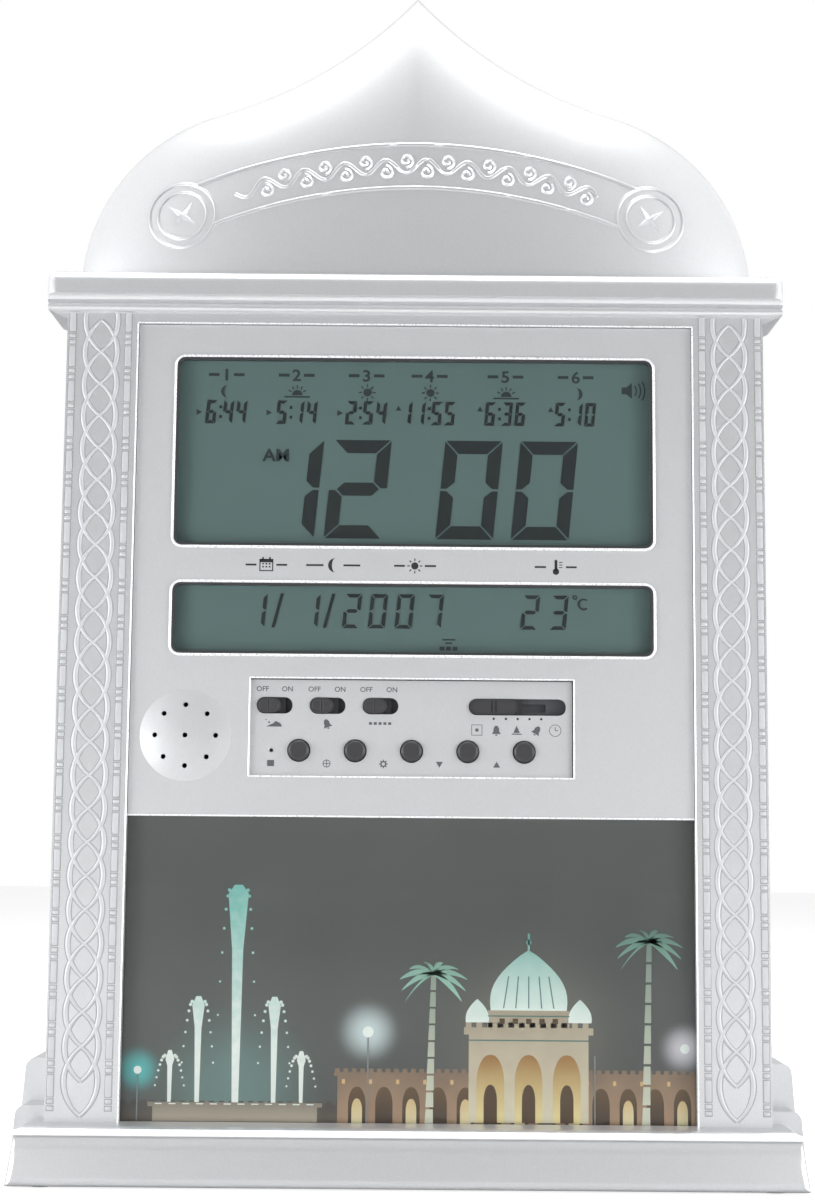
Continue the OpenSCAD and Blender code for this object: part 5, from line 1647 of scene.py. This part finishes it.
    def build(self) -> None:
        """Prints every sign."""
        self.printed(self.labels(), self.panel, "panel_labels", INK)
        self.printed(self.mode_signs() + self.switch_signs(), self.sunk, "switch_signs",
                     GREY_INK)
        dots = [ring((x, self.dot_z), 0.28, 10) for x in (18.8, 21.6, 24.3, 27.0, 29.7)]
        self.printed(dots, self.sunk, "mode_dots", INK)
        self.printed(self.key_signs(), self.sunk, "button_signs", GREY_INK)
        present(self.on_and_off(), "switch_on_off", GREY_INK, smooth=0)


@dataclass(frozen=True)
class FadingInk(Finish):
    """Printed ink that fades from one colour at the foot to another at the top, as if lit below.

    Attributes:
        top: sRGB hex colour at the top.
        low_mm: Z where it starts to fade.
        high_mm: Z where it ends.
        uneven: How much more the fade wavers than the ink's own mottle.
    """

    roughness: float = 0.5
    top: str = "FFFFFF"
    low_mm: float = 14.0
    high_mm: float = 60.0
    uneven: float = 4.0

    def tint(self, tree: Tree, place: Socket) -> Socket:
        """Fades the colour along Z, a little unevenly."""
        parts = add_node(tree, "ShaderNodeSeparateXYZ", sockets={"Vector": place})
        noise = add_node(tree, "ShaderNodeTexNoise", sockets={
            "Vector": place, "Scale": 1 / (self.mottle_mm * MM), "Detail": 4.0})
        waver = self.uneven * self.mottle
        shift = add_node(tree, "ShaderNodeMapRange", sockets={
            "Value": noise.outputs["Fac"], "To Min": -waver, "To Max": waver})
        fade = add_node(tree, "ShaderNodeMapRange", sockets={
            "Value": parts.outputs["Z"], "From Min": self.low_mm * MM,
            "From Max": self.high_mm * MM})
        both = add_node(tree, "ShaderNodeMath", {"operation": "ADD"}, {
            0: fade.outputs["Result"], 1: shift.outputs["Result"]})
        ramp = add_node(tree, "ShaderNodeValToRGB", sockets={"Fac": both.outputs["Value"]})
        ramp.color_ramp.elements[0].color = linear(self.colour)
        ramp.color_ramp.elements[1].color = linear(self.top)
        return ramp.outputs["Color"]


@dataclass(frozen=True)
class Glow:
    """The round glow of one lamp in the printed picture.

    Attributes:
        x: X of its middle.
        z: Z of its middle.
        radius: How far it reaches.
        colour: sRGB hex colour.
        strength: How much of its colour covers the sky in its middle.
    """

    x: float
    z: float
    radius: float
    colour: str
    strength: float


@dataclass(frozen=True)
class NightSkyInk(Finish):
    """Printed night sky: soft cloud, darker to the right, with a round glow at each lamp.

    Attributes:
        low: sRGB hex colour at the left.
        dark: sRGB hex colour at the right.
        half_mm: Half the width of the picture.
        card_mm: Y of the card's front.
        glows: The glows, the lowest layer first.
    """

    roughness: float = 0.5
    low: str = "616160"
    dark: str = "525252"
    half_mm: float = 65.0
    card_mm: float = -17.72
    glows: tuple[Glow, ...] = ()

    def tint(self, tree: Tree, place: Socket) -> Socket:
        """Builds cloud and fade, and adds the glows one by one."""
        parts = add_node(tree, "ShaderNodeSeparateXYZ", sockets={"Vector": place})
        cloud = add_node(tree, "ShaderNodeTexNoise", sockets={
            "Vector": place, "Scale": 1 / (self.mottle_mm * MM), "Detail": 5.0,
            "Roughness": 0.55})
        fade = add_node(tree, "ShaderNodeMapRange", sockets={
            "Value": parts.outputs["X"], "From Min": -self.half_mm * MM,
            "From Max": self.half_mm * MM, "To Min": 0.15, "To Max": 0.62})
        drift = add_node(tree, "ShaderNodeMapRange", sockets={
            "Value": cloud.outputs["Fac"], "From Min": 0.3, "From Max": 0.7,
            "To Min": -0.22, "To Max": 0.22})
        both = add_node(tree, "ShaderNodeMath", {"operation": "ADD", "use_clamp": True}, {
            0: fade.outputs["Result"], 1: drift.outputs["Result"]})
        ramp = add_node(tree, "ShaderNodeValToRGB", sockets={"Fac": both.outputs["Value"]})
        ramp.color_ramp.elements[0].color = linear(self.low)
        ramp.color_ramp.elements[1].color = linear(self.dark)
        colour = ramp.outputs["Color"]
        for glow in self.glows:
            away = add_node(tree, "ShaderNodeVectorMath", {"operation": "DISTANCE"}, {
                0: place, 1: (glow.x * MM, self.card_mm * MM, glow.z * MM)})
            near = add_node(tree, "ShaderNodeMapRange", {"interpolation_type": "SMOOTHERSTEP"}, {
                "Value": away.outputs["Value"], "From Min": 0.0,
                "From Max": glow.radius * MM, "To Min": glow.strength, "To Max": 0.0})
            colour = add_node(tree, "ShaderNodeMix", {"data_type": "RGBA"}, {
                0: near.outputs["Result"], 6: colour, 7: linear(glow.colour)}).outputs[2]
        return colour


# The picture's inks: flat offset inks on card, each a little uneven, brighter where lamps stand.
FAR_WALL_INK = FadingInk("ink_warm_grey", "6E6259", top="4C4948", low_mm=13.0, high_mm=18.5,
                         mottle=0.06, mottle_mm=3.0)
COURT_WALL_INK = FadingInk("ink_sandstone_lit", "B9967C", top="8F7767", low_mm=13.0,
                           high_mm=25.0, mottle=0.1, mottle_mm=4.0)
ARCH_SHADOW_INK = FadingInk("ink_arch_shadow", "4A3B33", top="6E553F", low_mm=13.0,
                            high_mm=21.0)
LAMP_AMBER_INK = FadingInk("ink_lamp_amber", "F6E7BE", top="E2BC86", low_mm=13.0, high_mm=20.0)
PALE_STONE_INK = FadingInk("ink_pale_stone_lit", "E9DCC6", top="B5A592", high_mm=38.0,
                           mottle=0.06, mottle_mm=5.0)
DOME_INK = FadingInk("ink_pale_teal_lit", "F1F7F4", top="7FB7B0", low_mm=36.0, high_mm=55.0,
                     mottle=0.04, mottle_mm=4.0)
RIB_INK = Finish("ink_teal_grey", "5E7D7A", 0.5)
ARCH_AMBER_INK = FadingInk("ink_arch_amber", "F7E2A8", top="A97C4C", low_mm=15.0, high_mm=28.0)
DOOR_INK = Finish("ink_door_brown", "5B4433", 0.5)
BASIN_INK = FadingInk("ink_basin_stone", "C7B8A8", top="8F8379", low_mm=13.0, high_mm=18.0)
WATER_INK = FadingInk("ink_water_lit", "FDFEFC", top="8CC7C0", low_mm=26.0, high_mm=64.0,
                      mottle=0.08, mottle_mm=2.0)
WHITE_INK = Finish("ink_white", "F4F6F3", 0.5)
TRUNK_INK = FadingInk("ink_trunk_lit", "E7E3D2", top="7F9089", high_mm=54.0)
LEAF_INK = FadingInk("ink_leaf_lit", "A7CFC1", top="4F6F66", low_mm=42.0)
POST_INK = Finish("ink_post_grey", "8F9294", 0.5)
LAMP_WHITE_INK = Finish("ink_lamp_white", "FCFEFD", 0.5)


@dataclass
class GardenPicture:
    """The printed card behind its clear window: a garden court at night, in flat layers of ink."""

    half: float = 64.6
    low: float = 12.9
    ground: float = 13.6
    face: float = -17.78
    layer: float = 0.012
    window_thinner: float = 0.2
    bay: float = 6.1
    bays: int = 13
    bay_x: float = -11.6
    house_x: float = 27.0
    dome_half: float = 8.6
    palms: tuple = ((4.6, 46.5), (53.4, 54.0))
    lights: tuple = ((-9.2, 33.4), (-61.0, 24.6), (62.2, 30.2))
    count: int = 0

    def ink(self, name: str, outlines: list[Outline], finish: Finish) -> None:
        """Prints one layer in front of those before it.

        Args:
            name: The layer's name.
            outlines: Its shapes.
            finish: Its ink.
        """
        self.count += 1
        front = self.face - self.layer * self.count
        present(plates(outlines, front, front + self.layer * 0.6), f"picture_{name}", finish,
                smooth=0)

    def row(self, left: float, pitch: float, wide: float, bottom: float, top: float,
            count: int) -> list[Outline]:
        """Draws a row of equal upright plates, such as battlements.

        Args:
            left: Left end of the first one.
            pitch: Distance from one to the next.
            wide: Width of each.
            bottom: Z of their feet.
            top: Z of their tops.
            count: How many there are.

        Returns:
            The outlines.
        """
        return [rectangle(left + i * pitch, bottom, left + wide + i * pitch, top)
                for i in range(count)]

    def arch(self, x: float, low: float, half: float, spring: float, top: float) -> Outline:
        """Draws a pointed arch.

        Args:
            x: Its middle.
            low: Z of its foot.
            half: Half its width.
            spring: Z where its sides start to lean in.
            top: Z of its point.

        Returns:
            The outline.
        """
        count = 6
        side = []
        for i in range(1, count):
            turn = i / count * math.pi / 2
            side.append((half * math.cos(turn) ** 0.9,
                         spring + (top - spring) * math.sin(turn) ** 1.1))
        right = [(x + dx, z) for dx, z in side]
        left = [(x - dx, z) for dx, z in reversed(side)]
        return [(x - half, low), (x + half, low), (x + half, spring), *right, (x, top), *left,
                (x - half, spring)]

    def dome(self, x: float, low: float, half: float, tall: float) -> Outline:
        """Draws a round dome with a small point."""
        count = 10
        side = []
        for i in range(count + 1):
            share = i / count
            bulge = 1 + 0.10 * math.sin(share * math.pi * 0.9)
            side.append((half * bulge * math.cos(share * math.pi / 2) ** 0.85,
                         low + tall * share ** 0.9))
        return [(x + dx, z) for dx, z in side] + [(x - dx, z) for dx, z in reversed(side[:-1])]

    def plume(self, x: float, low: float, top: float, foot: float, head: float) -> list[Outline]:
        """Draws one jet of water that opens towards its head and falls back in drops.

        Args:
            x: Its middle.
            low: Z of its foot.
            top: Z of its head.
            foot: Half its width at the foot.
            head: Half its width at the head.

        Returns:
            The jet and its drops.
        """
        tall, neck, count = top - low, low + (top - low) * 0.7, 7
        side = [(foot, low), (head * 0.55, neck), (head, top - 2.0), (head * 0.4, top)]
        made = [[(x - foot, low)] + [(x + dx, z) for dx, z in side]
                + [(x - dx, z) for dx, z in reversed(side[1:])]]
        for way in (-1, 1):
            for step in range(count):
                share = step / count
                reach = (head + 0.6 + 3.4 * share) * 0.72
                fall = top - 1.2 - tall * 0.75 * share ** 1.7
                made.append(ring((x + way * reach, fall), 0.42 - 0.03 * step, 8))
        return made

    def trunk(self, x: float, low: float, top: float, lean: float) -> list[Outline]:
        """Draws a palm's trunk in rings that narrow upwards."""
        rows = 9
        made = []
        for i in range(rows):
            foot, head = i / rows, (i + 0.88) / rows
            width = 0.95 - 0.35 * foot
            made.append([(x + lean * share + side * width * full, low + (top - low) * share)
                         for share, side, full in ((foot, -1, 1), (foot, 1, 1),
                                                   (head, 1, 0.86), (head, -1, 0.86))])
        return made

    def leaf(self, x: float, z: float, degrees: float) -> Outline:
        """Draws one drooping palm leaf.

        Args:
            x: The crown's middle.
            z: The crown's middle.
            degrees: The way the leaf points.

        Returns:
            The outline.
        """
        c, s = math.cos(math.radians(degrees)), math.sin(math.radians(degrees))
        reach = 8.2 if 0 < degrees < 180 else 7.2
        upper, lower = [], []
        for i in range(7):
            share = i / 6
            px = x + reach * share * c
            pz = z + reach * share * s * 0.75 - 3.6 * share ** 2
            wide = 0.62 * math.sin(math.pi * min(1.0, share * 0.85 + 0.12))
            upper.append((px - wide * s, pz + wide * abs(c) + 0.05))
            lower.append((px + wide * s, pz - wide * abs(c) - 0.05))
        return upper + lower[::-1]

    def wall(self) -> None:
        """Prints the far wall, and the arcade along the court with its lights."""
        half, low = self.half, self.low
        far = [rectangle(-half, low, half, 17.2)] + self.row(-half, 2.2, 1.2, 17.2, 17.9, 59)
        self.ink("far_wall", far, FAR_WALL_INK)
        body = [rectangle(-16.0, low, half, 23.6), rectangle(-16.8, 23.6, half, 24.5)]
        body += self.row(-16.6, 1.9, 1.1, 24.5, 25.3, 43)
        self.ink("court_wall", body, COURT_WALL_INK)
        middles = [self.bay_x + i * self.bay for i in range(self.bays)]
        self.ink("court_arches", [self.arch(x, low, 1.95, 17.6, 21.3) for x in middles],
                 ARCH_SHADOW_INK)
        lit = [self.arch(x, low, 1.2, 16.2, 18.7) for x in middles[::2]]
        lit += self.row(-15.0, self.bay, 0.7, 21.9, 22.9, self.bays)
        self.ink("court_lights", lit, LAMP_AMBER_INK)

    def pavilion(self) -> None:
        """Prints the domed pavilion on the right."""
        x, low, half = self.house_x, self.ground, self.dome_half
        stone = [rectangle(x - wide, bottom, x + wide, top) for wide, bottom, top in (
            (13.5, low, 33.0), (14.6, 33.0, 34.6), (9.2, 34.6, 38.4))]
        self.ink("pavilion_stone", stone + self.row(x - 14.2, 2.4, 1.3, 34.6, 35.7, 12),
                 PALE_STONE_INK)
        domes = [self.dome(x, 38.4, half, 13.5)]
        domes += [self.dome(x + aside, 35.7, 2.6, 5.2) for aside in (-11.6, 11.6)]
        domes += [rectangle(x - 0.25, 51.6, x + 0.25, 55.6), ring((x, 53.6), 0.62, 12)]
        self.ink("pavilion_domes", domes, DOME_INK)
        ribs = [[(x + share * half - 0.14, 38.9), (x + share * half + 0.14, 38.9),
                 (x + share * 6.9 + 0.14, 46.0), (x + share * 6.9 - 0.14, 46.0)]
                for share in (-0.66, -0.34, 0.0, 0.34, 0.66)]
        ribs += [rectangle(x - wide, bottom, x + wide, bottom + 0.3)
                 for wide, bottom in ((9.2, 37.0), (13.5, 31.6))]
        self.ink("pavilion_lines", ribs, RIB_INK)
        middles = (x - 8.6, x, x + 8.6)
        self.ink("pavilion_arches", [self.arch(dx, low, 3.1, 22.8, 28.6) for dx in middles],
                 ARCH_AMBER_INK)
        doors = [self.arch(dx, low, 1.5, 18.6, 22.0) for dx in middles]
        self.ink("pavilion_doors", doors + self.row(x - 6.6, 3.0, 1.2, 35.4, 36.6, 5), DOOR_INK)

    def water(self) -> None:
        """Prints the fountain on the left, its basin and its lit jets."""
        basin = [rectangle(-57.5, 13.4, -20.5, 16.6), rectangle(-58.6, 16.6, -19.4, 17.6)]
        self.ink("basin", basin, BASIN_INK)
        jets: list[Outline] = []
        for x, top, foot, head in ((-39.0, 66.0, 0.75, 2.3), (-47.6, 41.0, 0.5, 1.4),
                                   (-30.4, 41.0, 0.5, 1.4), (-53.8, 29.0, 0.4, 1.0),
                                   (-24.2, 29.0, 0.4, 1.0)):
            jets += self.plume(x, 17.6, top, foot, head)
        self.ink("jets", jets, WATER_INK)
        self.ink("pool_glints", self.row(-57.0, 3.1, 1.6, 17.1, 17.35, 12), WHITE_INK)

    def trees(self) -> None:
        """Prints the palms."""
        lean, low = 0.9, 13.2
        trunks = [part for x, top in self.palms for part in self.trunk(x, low, top, lean)]
        self.ink("palm_trunks", trunks, TRUNK_INK)
        ways = (-28, -2, 22, 48, 75, 105, 132, 158, 182, 208)
        leaves = [self.leaf(x + lean, top, way) for x, top in self.palms for way in ways]
        self.ink("palm_leaves", leaves, LEAF_INK)

    def lamps(self) -> None:
        """Prints the lamp posts and the white hearts of their glow."""
        posts = [rectangle(x - 0.16, 13.2, x + 0.16, top)
                 for x, top in ((-9.2, 33.0), (41.9, 28.5), (-61.0, 24.0))]
        self.ink("lamp_posts", posts, POST_INK)
        hearts = [ring(light, radius, count) for light, radius, count
                  in zip(self.lights, (1.25, 0.9, 1.1), (20, 16, 16))]
        self.ink("lamp_hearts", hearts, LAMP_WHITE_INK)

    def build(self) -> None:
        """Builds the card, its layers of ink and the clear window."""
        (first_x, first_z), (second_x, second_z), (third_x, third_z) = self.lights
        glows = (Glow(first_x, first_z, 8.5, "D9E2E6", 0.95),
                 Glow(second_x, second_z, 6.5, "63C3C4", 0.95),
                 Glow(third_x, third_z, 7.0, "E8E0EA", 0.9),
                 Glow(-39.0, 20.0, 24.0, "8CB5B2", 0.42), Glow(27.0, 30.0, 30.0, "9A8E80", 0.34))
        sky = NightSkyInk("card_printed_night_sky", "525252", mottle_mm=28.0, glows=glows)
        slab_for("picture_card", "picture_card_printed", sky, 0.05, self.face,
                 steps=1)
        self.wall()
        self.water()
        self.pavilion()
        self.trees()
        self.lamps()
        slab_for("picture_window", "picture_window_polished", ACRYLIC, 0.12,
                 thinner=self.window_thinner)


@dataclass(frozen=True)
class Softbox:
    """One soft lamp.

    Attributes:
        name: Its name.
        place: Where it hangs, in metres.
        target: What it points at, in metres.
        size: Width and height of its face, in metres.
        watts: Its power.
        spread: Angle of its beam, in degrees.
    """

    name: str
    place: tuple[float, float, float]
    target: tuple[float, float, float]
    size: Point
    watts: float
    spread: float = 180.0

    def hang(self) -> None:
        """Hangs the lamp and turns it to its target."""
        light = bpy.data.lights.new(self.name, "AREA")
        light.shape = "RECTANGLE"
        light.size, light.size_y, light.energy = *self.size, self.watts
        light.spread = math.radians(self.spread)
        holder = bpy.data.objects.new(self.name, light)
        bpy.context.scene.collection.objects.link(holder)
        holder.location = self.place
        way = Vector(self.target) - Vector(self.place)
        holder.rotation_euler = way.to_track_quat("-Z", "Y").to_euler()


@dataclass
class Studio:
    """Floor, backdrop, lamps and camera.

    Attributes:
        camera_place: The camera's place, in mm, fitted to the photograph.
        camera_tilt: How far it looks up, and camera_roll how far it is turned, in degrees.
        lens: Focal length, for a sensor of this height.
        shift_right: The framing's shift, as a share of the picture.
        room_front: Brightness of the room's front that gloss mirrors, then its sides and back.
    """

    camera_place: tuple = (1.2, -477.6, 75.2)
    camera_tilt: float = 7.0
    camera_roll: float = 0.49
    lens: float = 60.0
    sensor: float = 36.0
    shift_right: float = -10.5 / 1200
    room_front: float = 0.3
    room_side: float = 1.35
    room_back: float = 0.75
    lamps: tuple[Softbox, ...] = (
        Softbox("left_softbox", (-0.82, -0.36, 0.17), (0, 0, 0.2), (0.6, 0.3), 3.9),
        Softbox("right_softbox", (0.82, -0.36, 0.17), (0, 0, 0.2), (0.6, 0.3), 3.6),
        Softbox("low_left_strip", (-0.45, -0.5, 0.05), (0, 0, 0.24), (0.3, 0.08), 0.9),
        Softbox("low_right_strip", (0.45, -0.5, 0.05), (0, 0, 0.24), (0.3, 0.08), 0.9),
        Softbox("top_softbox", (0.0, 0.05, 1.05), (0, 0, 0.2), (0.6, 0.6), 8.0),
        Softbox("floor_softbox", (0.0, -0.5, 0.8), (0, -0.499, 0), (0.9, 0.5), 1.6, 70.0))

    def backdrop(self) -> None:
        """Makes the world white to the eye, and a room that is darker in front for gloss only."""
        world = bpy.data.worlds.new("studio")
        bpy.context.scene.world = world
        world.use_nodes = True
        tree = world.node_tree
        tree.nodes.clear()
        path = add_node(tree, "ShaderNodeLightPath")
        seen = add_node(tree, "ShaderNodeMath", {"operation": "MAXIMUM"}, {
            0: path.outputs["Is Camera Ray"], 1: path.outputs["Is Transmission Ray"]})
        way = add_node(tree, "ShaderNodeTexCoord").outputs["Generated"]
        parts = add_node(tree, "ShaderNodeSeparateXYZ", sockets={"Vector": way})
        flat = add_node(tree, "ShaderNodeVectorMath", {"operation": "MULTIPLY"}, {
            0: way, 1: (1.0, 0.0, 0.6)})
        aside = add_node(tree, "ShaderNodeVectorMath", {"operation": "LENGTH"}, {
            0: flat.outputs["Vector"]})
        walls = add_node(tree, "ShaderNodeMapRange", {"interpolation_type": "SMOOTHSTEP"}, {
            "Value": aside.outputs["Value"], "From Min": 0.22, "From Max": 0.7,
            "To Min": self.room_front, "To Max": self.room_side})
        back = add_node(tree, "ShaderNodeMapRange", {"interpolation_type": "SMOOTHSTEP"}, {
            "Value": parts.outputs["Y"], "From Min": -0.2, "From Max": 0.2, "To Min": 0.0,
            "To Max": self.room_back})
        room = add_node(tree, "ShaderNodeMath", {"operation": "MAXIMUM"}, {
            0: walls.outputs["Result"], 1: back.outputs["Result"]})
        dark, mirrored, shown = (add_node(tree, "ShaderNodeBackground", sockets={
            "Color": linear("FFFFFF"), "Strength": strength})
            for strength in (0.0, room.outputs["Value"], 1.0))
        lit = add_node(tree, "ShaderNodeMixShader", sockets={
            0: path.outputs["Is Glossy Ray"], 1: dark.outputs["Background"],
            2: mirrored.outputs["Background"]})
        mixed = add_node(tree, "ShaderNodeMixShader", sockets={
            0: seen.outputs["Value"], 1: lit.outputs["Shader"], 2: shown.outputs["Background"]})
        add_node(tree, "ShaderNodeOutputWorld", sockets={"Surface": mixed.outputs["Shader"]})

    def floor(self) -> None:
        """Lays a pale floor that keeps the object's shadow."""
        choose()
        bpy.ops.mesh.primitive_plane_add(size=6.0, location=(0, 0, 0))
        floor = bpy.context.object
        floor.name = "studio_floor"
        made = bpy.data.materials.new("white_paper_roll")
        made.use_nodes = True
        tree = made.node_tree
        tree.nodes.clear()
        path = add_node(tree, "ShaderNodeLightPath")
        glow = add_node(tree, "ShaderNodeMath", {"operation": "MULTIPLY"}, {
            0: path.outputs["Is Camera Ray"], 1: 0.8})
        paper = add_node(tree, "ShaderNodeBsdfPrincipled", sockets={
            "Base Color": linear("ECECEC"), "Roughness": 0.8,
            "Emission Color": linear("FFFFFF"), "Emission Strength": glow.outputs["Value"]})
        add_node(tree, "ShaderNodeOutputMaterial", sockets={"Surface": paper.outputs["BSDF"]})
        floor.data.materials.append(made)

    def camera(self) -> None:
        """Sets the camera at the photograph's place."""
        choose()
        bpy.ops.object.camera_add()
        holder = bpy.context.object
        holder.name = "studio_camera"
        tilt = Matrix.Rotation(math.radians(90 + self.camera_tilt), 4, "X")
        roll = Matrix.Rotation(math.radians(self.camera_roll), 4, "Z")
        holder.matrix_world = Matrix.Translation(Vector(self.camera_place) * MM) @ tilt @ roll
        holder.data.sensor_fit = "VERTICAL"
        holder.data.sensor_height = self.sensor
        holder.data.lens = self.lens
        holder.data.shift_x = self.shift_right
        holder.data.clip_start = 0.01
        bpy.context.scene.camera = holder

    def build(self) -> None:
        """Builds the whole studio."""
        bpy.context.scene.view_settings.view_transform = "Standard"
        self.backdrop()
        self.floor()
        for lamp in self.lamps:
            lamp.hang()
        self.camera()


def dress_nodes(nodes: dict[str, Piece]) -> None:
    """Gives the CAD nodes that stay as they are their materials.

    Args:
        nodes: The CAD nodes by name.
    """
    for name, finish in NODE_FINISHES.items():
        for entry in nodes[name].material_slots:
            entry.material = finish.material()
        LOG.info("%s: CAD node in %s", name, finish.name)


def main() -> None:
    """Builds the clock's looks around the frame, piece by piece."""
    logging.basicConfig(level=logging.INFO, format="%(name)s: %(message)s")
    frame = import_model()
    nodes = frame["nodes"]
    dress_nodes(nodes)
    casing = Casing(nodes)
    casing.build()
    ColumnOrnament().build()
    Trim().build()
    CrestRelief(casing.crest).build()
    TimeDisplay("main_lcd").build()
    DateDisplay("date_lcd").build()
    PanelPrint().build()
    GardenPicture().build()
    Studio().build()


if __name__ == "__main__":
    main()
